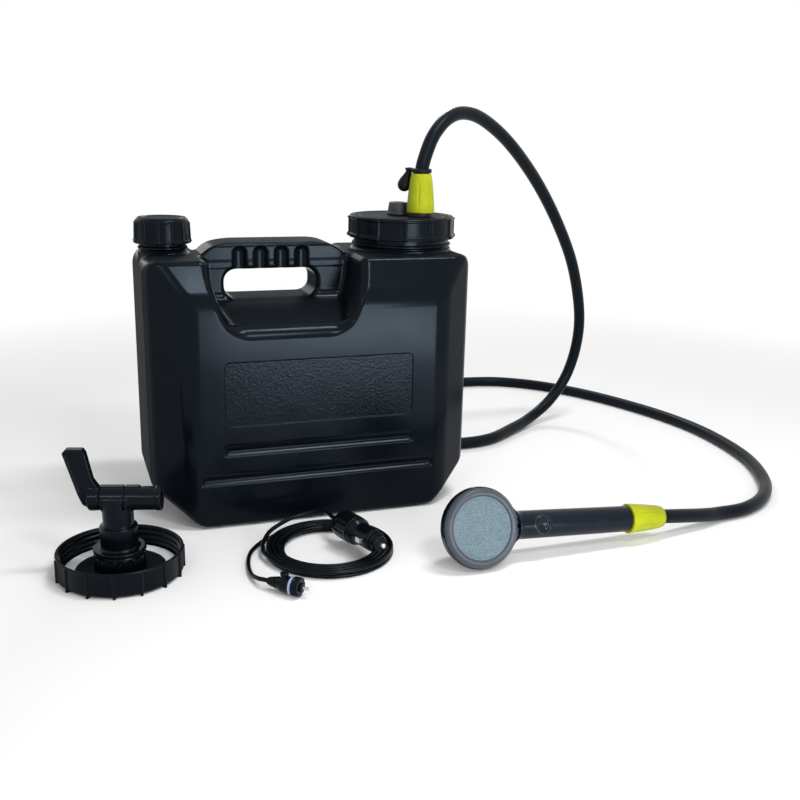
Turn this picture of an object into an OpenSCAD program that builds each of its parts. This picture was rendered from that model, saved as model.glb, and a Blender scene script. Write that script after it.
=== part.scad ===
// Camp shower kit: water carrier, submersible 12 V pump under its lid, hose with hand shower,
// spare lid with tap, and coiled 12 V lead. Origin: centre of the carrier's base. +Z up, front -Y.

/* [Carrier] */
// Width of the carrier, side to side
can_w = 332; // [310:1:350]
// Depth of the carrier, front to back
can_d = 160; // [152:1:172]
// Height of the flat shoulders
can_top = 264; // [258:1:268]
// Wall of the carrier
wall = 2.6; // [2:0.1:3.2]
// Upright corner bevel, along the width
corner_x = 37; // [30:1:42]
// Upright corner bevel, along the depth
corner_y = 26; // [20:1:30]
// Lower end bevel, along the width
foot_x = 48; // [36:1:52]
// Lower end bevel, up the side
foot_z = 40; // [30:1:46]
// Drop of the sloped shoulder, front and back
slope_h = 38; // [30:1:44]
// Run of the sloped shoulder, front and back
slope_d = 18; // [14:1:20]

/* [Handle] */
// Left end of the hand scoop
scoop_left = -104; // [-108:1:-100]
// Width of the hand scoop
scoop_w = 147; // [140:1:150]
// Height of the scoop's lip at the front
scoop_lip = 197; // [190:1:204]
// Height of the ledge below the fingers
ledge_z = 220; // [214:1:224]
// Thickness of the handle, front to back
handle_d = 44; // [38:1:50]
// Underside of the grip bar
grip_low = 250; // [246:1:252]
// Top of the grip bar
grip_top = 275; // [272:1:280]
// Left end of the finger opening
finger_left = -84; // [-86:1:-80]
// Width of the finger opening
finger_w = 94; // [84:1:100]

/* [Front face] */
// Width of the sunk panel
panel_w = 191; // [150:1:200]
// Height of the sunk panel
panel_h = 64; // [50:1:70]
// Height of the panel's centre
panel_z = 136; // [130:1:140]
// Depth of the sunk panel
panel_deep = 1; // [0.6:0.1:1.4]
// Heights of the two pressed grooves
groove_z = [76.5, 47.5]; // [40:0.5:90]
// Lengths of the two pressed grooves
groove_w = [189, 235]; // [160:1:240]
// Depth of the pressed grooves
groove_deep = 4; // [3:0.5:5]

/* [Lids and caps] */
// Width position of the pump lid
lid_x = 108; // [104:1:109]
// Diameter of the wide lids over their ribs
lid_d = 115; // [110:1:116]
// Height of the wide lids
lid_h = 22.7; // [21:0.1:25]
// Top plate of the wide lids
lid_plate = 3; // [2.6:0.1:3.6]
// Wall of the lids and caps
lid_wall = 2.6; // [2.2:0.1:3]
// Ribs round the wide lids
lid_ribs = 12; // [10:1:16]
// Width position of the fill cap
cap_x = -140; // [-142:1:-136]
// Diameter of the fill cap over its ribs
cap_d = 57; // [52:1:58]
// Height of the fill cap
cap_h = 24.8; // [22:0.1:26]
// Height of both necks above the shoulders
neck_h = 29.5; // [28.5:0.5:32]
// Wall of the necks
neck_wall = 3; // [2.6:0.1:3.6]
// Thickness of the lid and cap seals
seal_t = 2.4; // [1.6:0.1:3]
// Thread pitch of the lids and caps
pitch = 5; // [4.6:0.1:6]
// Height of the thread lugs
lug_h = 1.9; // [1.4:0.1:2.2]

/* [Lid fittings] */
// Power socket, offset from the lid's axis along X
socket_dx = -4.5; // [-7:0.5:-4]
// Power socket, offset from the lid's axis along Y
socket_dy = -2; // [-2.5:0.5:2]
// Diameter of the socket's base
socket_d = 24; // [22:0.5:24.5]
// Height of the socket's boss
socket_h = 12.5; // [12:0.5:16]
// Hose outlet, offset from the lid's axis along X
outlet_dx = 12; // [11:0.5:13]
// Hose outlet, offset from the lid's axis along Y
outlet_dy = -24; // [-26:0.5:-22]
// Base diameter of the yellow collars
collar_d = 29; // [27:0.5:29.5]
// Top diameter of the yellow collars
collar_tip_d = 20.5; // [19.5:0.5:21.5]
// Length of the yellow collars
collar_h = 39.5; // [38:0.5:42]

/* [Pump] */
// Diameter of the submersible pump
pump_d = 42; // [40:1:44]
// Height of the pump's foot above the ground
pump_z = 32; // [30:1:36]
// Diameter of the motor
motor_d = 33; // [30:0.5:33]
// Diameter of the motor shaft
shaft_d = 3.2; // [3:0.1:4]
// Diameter of the impeller
impeller_d = 27; // [22:1:28]
// Outside diameter of the hose inside the carrier
inner_hose_d = 12.4; // [11.6:0.2:13]
// Diameter of the pump's cable
cable_d = 5; // [4:0.5:6]

/* [Hose and hand shower] */
// Outside diameter of the shower hose
hose_d = 14; // [13:0.5:14.5]
// Diameter of the shower head
head_d = 75; // [72:1:76]
// Diameter of the spray plate
plate_d = 61; // [57:1:62]
// Diameter of the shower handle beside the head
stem_d = 27; // [26:0.5:28]
// Length from the head's centre to the end of the handle
stem_l = 161; // [154:1:168]
// Diameter of the pause button
button_d = 12.6; // [11:0.2:13]
// Travel of the pause button
button_travel = 3; // [2:0.5:3.5]

/* [Spare lid with tap] */
// Width position of the spare lid
tap_x = -204; // [-210:1:-200]
// Depth position of the spare lid
tap_y = -150; // [-160:1:-146]
// Height of the tap's barrel axis
barrel_z = 70; // [66:1:76]
// Diameter of the tap's barrel
barrel_d = 21; // [20:0.5:24]
// Diameter of the turning plug in the barrel
tap_plug_d = 15; // [13:0.5:15.5]
// Diameter of the ribbed nut on the tap
tap_nut_d = 46; // [42:1:48]

/* [Lead] */
// Diameter of the lead
lead_d = 4; // [3.6:0.1:4.2]
// Turns in the coil
coil_turns = 7.847; // [5.847:1:8.847]
// Radius of the coil at its outermost turn
coil_r = 61; // [59:0.5:63]
// Distance between neighbouring turns
coil_step = 4.5; // [4.5:0.1:5]
// Distance between the coil's two layers
coil_rise = 4.6; // [4.6:0.1:5.2]
// Diameter of the car plug's grip
car_plug_d = 27; // [24:0.2:28]
// Diameter of the connector's lock ring
connector_d = 17; // [15:0.5:18]

/* [Fits] */
// Radial clearance of a turning or sliding fit
slip = 0.05; // [0.03:0.01:0.08]
// Clearance between pieces that pass each other
gap = 0.4; // [0.3:0.05:0.6]

/* [Hidden] */
$fn = 64;
far = 400;

// Carrier, worked out
slope_z = can_top - slope_h;
scoop_right = scoop_left + scoop_w;
scoop_corner_x = 21;
scoop_corner_z = 28;
neck_top = can_top + neck_h;
rib_h = 1.3;
rib_w = 2.4;
rib_root = 0.8;
rib_end = 0.5;
lugs_per_turn = 12;
lug_angle = 24;
lug_foot = 2;
lug_tip = 1.2;
lug_sink = 0.4;
neck_lugs = 18;
lid_lugs = 12;

// Wide lid and fill cap radii, from the outside in
lid_bore = lid_d / 2 - rib_h - lid_wall;
lid_neck_r = lid_bore - lug_h - 0.5;
cap_bore = cap_d / 2 - rib_h - lid_wall;
cap_neck_r = cap_bore - lug_h - 0.5;
ceiling = neck_top + seal_t;
lid_top = ceiling + lid_plate;
neck_thread_z = neck_top - 15;
flange_h = 3;
flange_out = 2.4;

// Places on the pump lid
socket_x = lid_x + socket_dx;
outlet_x = lid_x + outlet_dx;
gasket_t = 1;
socket_stem_r = 6;
socket_stem_l = 12;
socket_well_r = 4.8;
outlet_stem_r = 7;
outlet_flange_r = 12;
outlet_flange_h = 3;
journal_r = 9.4;
journal_h = 9;
barb_r = 4.6;
water_r = 3;
lower_barb_r = 4.9;
nut_h = 5;
collar_z = lid_top + gasket_t + outlet_flange_h + gap;
collar_top = collar_z + collar_h;
hose_start = collar_z + 22;
hose_r = hose_d / 2;
hose_bore = hose_r + gap + 0.4;

// Pump, worked out from its foot upwards
pump_x = lid_x + 5;
pump_y = -12;
pump_r = pump_d / 2;
strainer_h = 14;
inlet_plate_h = 3;
chamber_z = pump_z + strainer_h + inlet_plate_h;
chamber_h = 9;
chamber_r = impeller_d / 2 + 1.5;
bulkhead_h = 4;
motor_z = chamber_z + chamber_h + bulkhead_h;
motor_h = 50;
motor_plate = 3;
motor_wall = 1.2;
housing_wall = 2.4;
housing_top = motor_z + motor_h + 6;
pump_cap_h = 8;
pump_cap_top = housing_top + pump_cap_h;
shaft_r = shaft_d / 2;
bush_r = 4.5;
magnet_t = 3;
armature_h = 24;
armature_z = motor_z + 14;
armature_r = motor_d / 2 - motor_wall - magnet_t - 0.8;
commutator_r = 4.5;
commutator_h = 7;
commutator_z = armature_z + armature_h;
pump_barb_top = pump_cap_top + 16;
gland_h = 6;
screw_r = 1.2;
screw_ring = (chamber_r + pump_r) / 2;

// Hand shower: its own frame has the handle along +X and the spray face towards -Y
shower_at = [107, -227, 36.1];
shower_turn = [-18, 4, 1];
head_r = head_d / 2;
plate_r = plate_d / 2;
head_front = -9;
head_back = 9;
bezel_t = 4.5;
head_cup_r = head_r - 4;
head_cup_floor = 2;
stem_r = stem_d / 2;
stem_end_r = stem_r - 1;
stem_bore = 9;
shower_barb_end = stem_l + 20;
button_x = 62;
button_r = button_d / 2;
button_top = -(stem_r - 0.6);
button_h = 5;
button_flange = 0.9;
button_seat = -stem_bore + 1;
button_foot = stem_bore - button_travel - 2.4;
spring_wire = 0.45;
button_spring_l = button_foot - button_seat - 2 * spring_wire;

// Spare lid and tap, from the ground up
tap_turn = -16;
tap_lid_ribs = 15;
tap_gasket_t = 1.6;
tap_nut_z = lid_plate + 1.5;
tap_flange_z = 21;
tap_flange_h = 4;
tap_stem_r = 12;
tap_tube_r = 16.5;
tap_step_z = 45.5;
tap_upper_r = 13.5;
tap_water_r = 8;
barrel_r = barrel_d / 2;
barrel_left = -14;
barrel_right = 39;
tap_plug_r = tap_plug_d / 2;
tap_plug_end = 20;
hub_left = -24;
oring_r = 0.7;
oring_x = [-10, 15];

// Coil of the lead: spirals in on the ground, climbs where it turns back, spirals out on top
lead_r = lead_d / 2;
coil_at = [-15.5, -162];
coil_start = 125;
coil_rings = 24;
coil_low = lead_r + 0.1;
coil_top_z = coil_low + coil_rise + lead_r;
coil_sides = 6;
coil_half = coil_turns / 2;
coil_steps = round(coil_turns * coil_rings);

// Car plug: its own frame runs along +X from the cord to the tip
car_plug_r = car_plug_d / 2;
car_plug_at = [-2.8, -138.5, coil_top_z + gap + car_plug_r];
car_plug_heading = -72;
relief_l = 10;
grip_l = 34;
nose_l = 22;
nose_r = 10.3;
nose_wall = 1.8;
ring_l = 8;
ring_r = 8.3;
tip_r = 3.2;
tip_l = 6;
tip_travel = 2.5;
fuse_r = 3.2;
fuse_l = 18;
tip_flange = 1.4;
tip_wire = 0.35;
tip_spring_l = 6;

// Waterproof connector on the other end of the lead
connector_r = connector_d / 2;
connector_at = [-87, -223, connector_r + 0.2];
connector_heading = -42;
connector_relief_l = 11;
connector_body_l = 12;
connector_ring_l = 2.4;
connector_nut_l = 7;
connector_nose_l = 9;
connector_pin_l = 5;
connector_nose_r = 4;

// Routes: round points chosen by hand along each cord
hose_floor = hose_r + 0.2;
hose_route = [
  [136, -15, 381], [156, -3, 398], [181, 12, 404], [212, 29, 397], [256, 53, 372], [308, 84, 329],
  [354, 110, 277], [391, 131, 221], [416, 149, 158], [421, 158, 110], [412, 164, 65], [388, 163, 31],
  [352, 151, 11.5], [312, 124, hose_floor + 0.6], [268, 95, hose_floor], [225, 88, hose_floor],
  [178, 98, hose_floor], [125, 130, hose_floor], [92, 185, hose_floor], [98, 250, hose_floor],
  [165, 330, hose_floor], [280, 368, hose_floor], [376, 367, hose_floor],
  [432, 341, hose_floor], [477, 293, hose_floor], [514, 226, hose_floor], [546, 130, hose_floor],
  [556, 40, hose_floor], [543, -55, hose_floor], [512, -127, hose_floor], [475, -173, hose_floor],
  [432, -198, hose_floor], [391, -205, 8.5], [363, -213, 13]
];
tail_route = [
  [-73, -128, coil_low], [-87, -148, coil_low], [-94, -172, coil_low], [-96, -196, 3.4], [-93.5, -212, 6.6]
];
strand_route = [
  [-76.4, -153, 6.9], [-73.3, -140.8, 8], [-62.2, -122.8, 11],
  [-40, -109, 15], [-17.5, -107.5, 19], [-7, -117, 22]
];

// Vector and path helpers
function unit(v) = v / norm(v);
function about_x(p, a) = [p.x, p.y * cos(a) - p.z * sin(a), p.y * sin(a) + p.z * cos(a)];
function about_y(p, a) = [p.x * cos(a) + p.z * sin(a), p.y, p.z * cos(a) - p.x * sin(a)];
function about_z(p, a) = [p.x * cos(a) - p.y * sin(a), p.x * sin(a) + p.y * cos(a), p.z];
function placed(p, at, turn) = at + about_z(about_y(about_x(p, turn.x), turn.y), turn.z);
function spline(a, b, c, d, t) =
  (2 * b + (c - a) * t + (2 * a - 5 * b + 4 * c - d) * t * t + (3 * b - a - 3 * c + d) * t * t * t) / 2;
function smooth(p, per) = [
  for (i = [0 : len(p) - 2])
    for (j = [0 : per - 1])
      spline(p[max(i - 1, 0)], p[i], p[i + 1], p[min(i + 2, len(p) - 1)], j / per),
  p[len(p) - 1]
];
function heading(p, i) = unit(p[min(i + 1, len(p) - 1)] - p[max(i - 1, 0)]);
function squared(s, t) = unit(s - (s * t) * t);
function sides_of(p, first) = [
  for (i = 0, s = squared(first, heading(p, 0)); i < len(p);
       i = i + 1, s = squared(s, heading(p, min(i, len(p) - 1)))) s
];

// One unbroken tube swept along a path
module swept_tube(path, r, sides, first = [0.31, 0.95, 0.05]) {
  n = len(path);
  across = sides_of(path, first);
  points = [
    for (i = [0 : n - 1])
      let (t = heading(path, i), u = across[i], v = cross(t, u))
        for (k = [0 : sides - 1]) path[i] + r * (cos(360 * k / sides) * u + sin(360 * k / sides) * v)
  ];
  walls = [
    for (i = [0 : n - 2])
      for (k = [0 : sides - 1])
        let (a = i * sides + k, b = i * sides + (k + 1) % sides)
          each [[a, b + sides, b], [a, a + sides, b + sides]]
  ];
  last = (n - 1) * sides;
  ends = [for (k = [1 : sides - 2]) each [[0, k, k + 1], [last, last + k + 1, last + k]]];
  polyhedron(points, concat(walls, ends));
}

// Solids that several pieces share
module along_y(l) { rotate([90, 0, 0]) translate([0, 0, -l / 2]) linear_extrude(l) children(); }
module along_x(l) { rotate([90, 0, 90]) translate([0, 0, -l / 2]) linear_extrude(l) children(); }
module rod_x(r, x0, x1) { translate([x0, 0, 0]) rotate([0, 90, 0]) cylinder(r = r, h = x1 - x0); }
module cone_x(r0, r1, x0, x1) {
  translate([x0, 0, 0]) rotate([0, 90, 0]) cylinder(r1 = r0, r2 = r1, h = x1 - x0);
}
module ring(r_out, r_in, h) {
  difference() {
    cylinder(r = r_out, h = h);
    translate([0, 0, -1]) cylinder(r = r_in, h = h + 2);
  }
}
module ring_x(r_out, r_in, x0, x1) {
  translate([x0, 0, 0]) rotate([0, 90, 0]) ring(r_out, r_in, x1 - x0);
}
module rounded_rect(w, h, r) {
  square([w - 2 * r, h], center = true);
  square([w, h - 2 * r], center = true);
  for (sx = [-1, 1])
    for (sy = [-1, 1])
      translate([sx * (w / 2 - r), sy * (h / 2 - r)]) circle(r);
}
module bevelled_rect(w, d, bx, by) {
  polygon([
    [-w / 2 + bx, -d / 2], [w / 2 - bx, -d / 2], [w / 2, -d / 2 + by], [w / 2, d / 2 - by],
    [w / 2 - bx, d / 2], [-w / 2 + bx, d / 2], [-w / 2, d / 2 - by], [-w / 2, -d / 2 + by]
  ]);
}

// Interrupted thread: lugs that climb a helix, outward on a neck or inward in a lid
module thread_lugs(r, count, outward) {
  s = outward ? 1 : -1;
  for (i = [0 : count - 1])
    translate([0, 0, i * pitch / lugs_per_turn])
      rotate([0, 0, i * 360 / lugs_per_turn])
        rotate_extrude(angle = lug_angle)
          polygon([
            [r - s * lug_sink, -lug_foot / 2], [r - s * lug_sink, lug_foot / 2],
            [r + s * lug_h, lug_tip / 2], [r + s * lug_h, -lug_tip / 2]
          ]);
}

// Screw lid, open side down, its plate's underside at z = 0
module screw_lid(d, h, ribs, rib_h, wall, lugs) {
  skin = d / 2 - rib_h;
  bore = skin - wall;
  skirt = h - lid_plate;
  edge = 1.2;
  rotate_extrude()
    polygon([
      [0, 0], [bore, 0], [bore, -skirt], [skin, -skirt], [skin, lid_plate - edge], [skin - edge, lid_plate],
      [0, lid_plate]
    ]);
  for (i = [0 : ribs - 1])
    rotate([0, 0, (i + 0.5) * 360 / ribs])
      translate([skin - rib_root, -rib_w / 2, -skirt + rib_end])
        cube([rib_h + rib_root, rib_w, h - 2 * rib_end]);
  translate([0, 0, neck_thread_z - ceiling + pitch / 2]) thread_lugs(bore, lugs, false);
}

// Outer form of the carrier, drawn in by an inset for its inside
module can_form(inset) {
  hw = can_w / 2 - inset;
  hd = can_d / 2 - inset;
  z0 = inset;
  z1 = can_top - inset;
  crown = 8;
  base_edge = 5;
  intersection() {
    linear_extrude(can_top + 1) bevelled_rect(2 * hw, 2 * hd, corner_x, corner_y);
    along_y(far)
      polygon([
        [-hw + foot_x, z0], [hw - foot_x, z0], [hw, foot_z], [hw, z1 - crown], [hw - crown, z1],
        [-hw + crown, z1], [-hw, z1 - crown], [-hw, foot_z]
      ]);
    along_x(far)
      polygon([
        [-hd + base_edge, z0], [hd - base_edge, z0], [hd, z0 + base_edge], [hd, slope_z], [hd - slope_d, z1],
        [-hd + slope_d, z1], [-hd, slope_z], [-hd, z0 + base_edge]
      ]);
  }
}

// The scoop's outline seen from the front, widened by grow
module scoop_outline(grow) {
  low = scoop_lip - 8;
  run = scoop_corner_x * (scoop_corner_z + 8) / scoop_corner_z;
  x0 = scoop_left - grow;
  x1 = scoop_right + grow;
  polygon([
    [x0, far], [x0, scoop_lip + scoop_corner_z - grow], [x0 + run, low - grow], [x1 - run, low - grow],
    [x1, scoop_lip + scoop_corner_z - grow], [x1, far]
  ]);
}

// Height of the scoop's sloped floor at a distance from the middle plane
function scoop_floor(y) = ledge_z - (ledge_z - scoop_lip) * (y - handle_d / 2) / (can_d / 2 - handle_d / 2);

module scoop_cut() {
  y0 = handle_d / 2;
  y1 = can_d;
  intersection() {
    along_y(far) scoop_outline(0);
    along_x(far)
      for (s = [-1, 1])
        polygon([[s * y0, far], [s * y0, ledge_z], [s * y1, scoop_floor(y1)], [s * y1, far]]);
  }
}

module scoop_backing() {
  y0 = handle_d / 2;
  y1 = can_d;
  intersection() {
    along_y(far) scoop_outline(wall);
    along_x(far)
      polygon([
        [-y1, far], [-y1, scoop_floor(y1) - wall], [-y0, ledge_z - wall], [y0, ledge_z - wall],
        [y1, scoop_floor(y1) - wall], [y1, far]
      ]);
  }
}

module grip_bar() {
  shoulder = can_top - 6;
  bevel = 11;
  hd = handle_d / 2;
  intersection() {
    along_y(far)
      polygon([
        [scoop_left - 8, shoulder], [scoop_left, grip_top - 8], [scoop_left + 18, grip_top],
        [scoop_right - 24, grip_top], [scoop_right - 6, grip_top - 9], [scoop_right + 6, shoulder]
      ]);
    along_x(far)
      polygon([[-hd, shoulder - 1], [hd, shoulder - 1], [hd, grip_top - bevel], [hd - bevel, grip_top],
               [-hd + bevel, grip_top], [-hd, grip_top - bevel]]);
  }
}

module finger_opening() {
  h = grip_low - ledge_z;
  along_y(far)
    translate([finger_left + finger_w / 2, ledge_z + h / 2]) rounded_rect(finger_w, h, 10);
}

// Upright finger channels down both faces of the grip, each with an arched top
module grip_grooves() {
  count = 4;
  spacing = 21;
  depth = 4;
  r = 8;
  low = grip_low - 3;
  arch = grip_top - 13;
  middle = finger_left + finger_w / 2;
  for (s = [-1, 1])
    for (i = [0 : count - 1])
      translate([middle + (i - (count - 1) / 2) * spacing, s * (handle_d / 2 + r - depth), low]) {
        cylinder(r = r, h = arch - low);
        translate([0, 0, arch - low]) sphere(r = r);
      }
}

// Pressed grooves of the front and back faces, widened by grow for the wall behind them
module pressed_grooves(grow) {
  face = can_d / 2;
  back = face - groove_deep - grow;
  for (s = [-1, 1])
    for (i = [0 : len(groove_z) - 1]) {
      high = groove_z[i] + grow;
      low = groove_z[i] - grow;
      along_x(groove_w[i] + 2 * grow)
        polygon([
          [s * (face + 1), high + 11], [s * face, high + 9], [s * back, high + 3],
          [s * back, low + 1.5], [s * face, low - 2], [s * (face + 1), low - 2.5]
        ]);
    }
}

module face_panel() {
  corner = 6;
  translate([0, -can_d / 2, panel_z])
    along_y(2 * panel_deep) rounded_rect(panel_w, panel_h, corner);
}

module neck_outside(r) {
  root = can_top - 10;
  flange_z = can_top + 4.5;
  translate([0, 0, root]) cylinder(r = r, h = neck_top - root);
  translate([0, 0, root]) cylinder(r = r + flange_out, h = can_top + 2.5 - root);
  translate([0, 0, flange_z]) cylinder(r = r + flange_out, h = flange_h);
  translate([0, 0, neck_thread_z]) thread_lugs(r, neck_lugs, true);
}

module neck_bore(r) {
  translate([0, 0, can_top - 12]) cylinder(r = r - neck_wall, h = neck_h + 20);
}

module carrier_body() color("#1b1f24") {
  difference() {
    union() {
      difference() {
        can_form(0);
        scoop_cut();
        face_panel();
        pressed_grooves(0);
      }
      grip_bar();
      translate([lid_x, 0, 0]) neck_outside(lid_neck_r);
      translate([cap_x, 0, 0]) neck_outside(cap_neck_r);
    }
    finger_opening();
    grip_grooves();
    difference() {
      can_form(wall);
      scoop_backing();
      pressed_grooves(wall);
    }
    translate([lid_x, 0, 0]) neck_bore(lid_neck_r);
    translate([cap_x, 0, 0]) neck_bore(cap_neck_r);
  }
}

module fill_cap() color("#202429")
  translate([cap_x, 0, ceiling]) screw_lid(cap_d, cap_h, 12, rib_h, lid_wall, lid_lugs);

module fill_cap_seal() color("#3a3d40")
  translate([cap_x, 0, neck_top]) ring(cap_neck_r + 0.6, cap_neck_r - neck_wall - 1, seal_t);

module pump_lid() color("#202429") {
  difference() {
    translate([lid_x, 0, ceiling]) screw_lid(lid_d, lid_h, lid_ribs, rib_h, lid_wall, lid_lugs);
    translate([socket_x, socket_dy, ceiling - 1]) cylinder(r = socket_stem_r + slip, h = lid_plate + 2);
    translate([outlet_x, outlet_dy, ceiling - 1]) cylinder(r = outlet_stem_r + slip, h = lid_plate + 2);
  }
}

module pump_lid_seal() color("#3a3d40")
  translate([lid_x, 0, neck_top]) ring(lid_neck_r + 0.8, lid_neck_r - neck_wall - 1.5, seal_t);

// Power socket: grey boss on the lid, its stem held by a nut underneath
module power_socket() color("#5b6063")
  translate([socket_x, socket_dy, lid_top + gasket_t])
    difference() {
      union() {
        cylinder(d1 = socket_d, d2 = socket_d - 4, h = socket_h);
        translate([0, 0, -gasket_t - lid_plate - socket_stem_l])
          cylinder(r = socket_stem_r, h = gasket_t + lid_plate + socket_stem_l + 1);
      }
      translate([0, 0, 3]) cylinder(r = socket_well_r, h = socket_h);
    }

module socket_pin() color("#c9ccce")
  translate([socket_x, socket_dy, lid_top + gasket_t + 3]) cylinder(r = 1.2, h = socket_h - 6);

module socket_gasket() color("#2a2c2e")
  translate([socket_x, socket_dy, lid_top]) ring(socket_d / 2 - 0.4, socket_stem_r + slip, gasket_t);

module hex_nut(across, bore, h) {
  difference() {
    cylinder(r = across, h = h, $fn = 6);
    translate([0, 0, -1]) cylinder(r = bore, h = h + 2);
  }
}

module socket_nut() color("#b9a15a")
  translate([socket_x, socket_dy, ceiling - nut_h]) hex_nut(socket_stem_r + 3.6, socket_stem_r + slip, nut_h);

// Hose spigot through the lid: barb above for the hose, barb below for the inner hose
module hose_spigot() color("#26292c")
  translate([outlet_x, outlet_dy, 0])
    difference() {
      union() {
        translate([0, 0, ceiling - 32]) cylinder(r = lower_barb_r, h = 32);
        translate([0, 0, ceiling - 9]) cylinder(r = outlet_stem_r, h = lid_plate + gasket_t + 9);
        translate([0, 0, lid_top + gasket_t]) cylinder(r = outlet_flange_r, h = outlet_flange_h);
        translate([0, 0, lid_top + gasket_t]) cylinder(r = journal_r, h = outlet_flange_h + gap + journal_h);
        translate([0, 0, lid_top + gasket_t]) cylinder(r = barb_r, h = hose_start - lid_top - gasket_t - gap);
      }
      translate([0, 0, ceiling - 40]) cylinder(r = water_r, h = 100);
    }

module spigot_gasket() color("#2a2c2e")
  translate([outlet_x, outlet_dy, lid_top]) ring(outlet_flange_r - 0.5, outlet_stem_r + slip, gasket_t);

module spigot_nut() color("#26292c")
  translate([outlet_x, outlet_dy, ceiling - nut_h]) hex_nut(outlet_stem_r + 3.8, outlet_stem_r + slip, nut_h);

// Yellow collar, base at z = 0: turns on the journal below and has a bore for the hose above
module collar() {
  flutes = 6;
  difference() {
    cylinder(d1 = collar_d, d2 = collar_tip_d, h = collar_h);
    translate([0, 0, -1]) cylinder(r = journal_r + slip, h = journal_h + 1 + gap);
    translate([0, 0, -1]) cylinder(r = hose_bore, h = collar_h + 2);
    for (i = [0 : flutes - 1])
      rotate([0, 0, i * 360 / flutes])
        translate([collar_d / 2 - 0.2, 0, 9])
          rotate([0, -atan((collar_d - collar_tip_d) / 2 / collar_h), 0]) cylinder(r = 1.1, h = 19);
  }
}

module lid_collar() color("#c3d024")
  translate([outlet_x, outlet_dy, collar_z]) collar();

// Rubber dust plug: ring round the hose above the collar, strap, and bulb hanging beside it
module dust_plug() color("#1d1f21") {
  ring_h = 4.5;
  bulb_at = collar_tip_d / 2 + 10;
  bulb_r = 7;
  translate([outlet_x, outlet_dy, collar_top + gap]) {
    ring(hose_bore + 3.4, hose_bore + 2 * gap, ring_h);
    rotate([0, 0, 130]) {
      difference() {
        translate([0, -2.4, 1]) cube([bulb_at + 1, 4.8, 2.6]);
        translate([0, 0, -1]) cylinder(r = hose_bore + 1.5, h = ring_h + 2);
      }
      translate([bulb_at, 0, -20])
        rotate_extrude()
          polygon([
            [0, 0], [4.4, 0.6], [bulb_r, 4.5], [bulb_r, 8.5], [4.4, 16], [3, 20], [4.2, 25], [0, 25]
          ]);
    }
  }
}

// Pipework and cable between the lid and the pump
module inner_hose() color("#2b2e31")
  translate([outlet_x, outlet_dy, pump_cap_top + 1])
    ring(inner_hose_d / 2, lower_barb_r + slip, ceiling - 10 - pump_cap_top - 1);

module pump_cable() color("#151617")
  translate([socket_x, socket_dy, pump_cap_top + gland_h])
    cylinder(d = cable_d, h = ceiling - socket_stem_l - pump_cap_top - gland_h);

// Submersible pump, top to bottom
module at_pump(z) { translate([pump_x, pump_y, z]) children(); }

module pump_cap() color("#2b2e31")
  difference() {
    union() {
      at_pump(housing_top) cylinder(r = pump_r, h = pump_cap_h);
      at_pump(housing_top - 4) cylinder(r = pump_r - housing_wall - slip, h = 4 + 1);
      translate([outlet_x, outlet_dy, pump_cap_top - 1])
        cylinder(r = lower_barb_r, h = pump_barb_top - pump_cap_top + 1);
      translate([socket_x, socket_dy, pump_cap_top - 1]) cylinder(r = cable_d / 2 + 1.2, h = gland_h + 1);
    }
    at_pump(housing_top - 6) cylinder(r = motor_d / 2 - 4, h = 9);
    translate([outlet_x, outlet_dy, housing_top - 5]) cylinder(r = water_r, h = 60);
  }

module pump_housing() color("#33373b")
  at_pump(0)
    difference() {
      translate([0, 0, chamber_z]) cylinder(r = pump_r, h = housing_top - chamber_z);
      translate([0, 0, chamber_z - 1]) cylinder(r = chamber_r, h = chamber_h + 1);
      translate([0, 0, chamber_z]) cylinder(r = bush_r + 0.5, h = chamber_h + bulkhead_h + 1);
      translate([0, 0, motor_z]) cylinder(r = pump_r - housing_wall, h = housing_top - motor_z + 1);
      for (i = [0 : 3])
        rotate([0, 0, 45 + 90 * i])
          translate([(chamber_r + bush_r) / 2 + 1, 0, chamber_z])
            cylinder(r = 2.2, h = chamber_h + bulkhead_h + 1);
      for (i = [0 : 2])
        rotate([0, 0, 120 * i])
          translate([screw_ring, 0, chamber_z - 1]) cylinder(r = screw_r + slip, h = 8);
    }

module motor_can() color("#a9adb0")
  at_pump(motor_z)
    difference() {
      cylinder(d = motor_d, h = motor_h);
      translate([0, 0, motor_plate]) cylinder(r = motor_d / 2 - motor_wall, h = motor_h);
      translate([0, 0, -1]) cylinder(r = bush_r + slip, h = motor_plate + 2);
    }

module motor_cap() color("#22262a")
  at_pump(motor_z + motor_h - motor_plate)
    ring(motor_d / 2 - motor_wall - slip, bush_r + slip, motor_plate);

module motor_magnets() color("#4a4d50")
  at_pump(armature_z - 2)
    for (i = [0, 180])
      rotate([0, 0, i + 20])
        rotate_extrude(angle = 140)
          translate([motor_d / 2 - motor_wall - magnet_t, 0]) square([magnet_t - slip, armature_h + 4]);

module armature() color("#7d5b34") {
  slots = 5;
  at_pump(armature_z)
    difference() {
      cylinder(r = armature_r, h = armature_h);
      translate([0, 0, -1]) cylinder(r = shaft_r + 0.02, h = armature_h + 2);
      for (i = [0 : slots - 1])
        rotate([0, 0, i * 360 / slots])
          translate([armature_r - 3.4, -1.1, -1]) cube([6, 2.2, armature_h + 2]);
    }
}

module motor_shaft() color("#cfd2d4")
  at_pump(chamber_z + 1.4) cylinder(r = shaft_r, h = motor_z + motor_h - chamber_z - 2);

module commutator() color("#b87333")
  at_pump(commutator_z) ring(commutator_r, shaft_r + 0.02, commutator_h);

module motor_brushes() color("#3b3b3b")
  at_pump(commutator_z + 2)
    for (i = [0, 180])
      rotate([0, 0, i + 90])
        translate([commutator_r + gap, -1.5, 0])
          cube([sqrt(pow(motor_d / 2 - motor_wall, 2) - 2.25) - commutator_r - gap - slip, 3, 3.4]);

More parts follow.
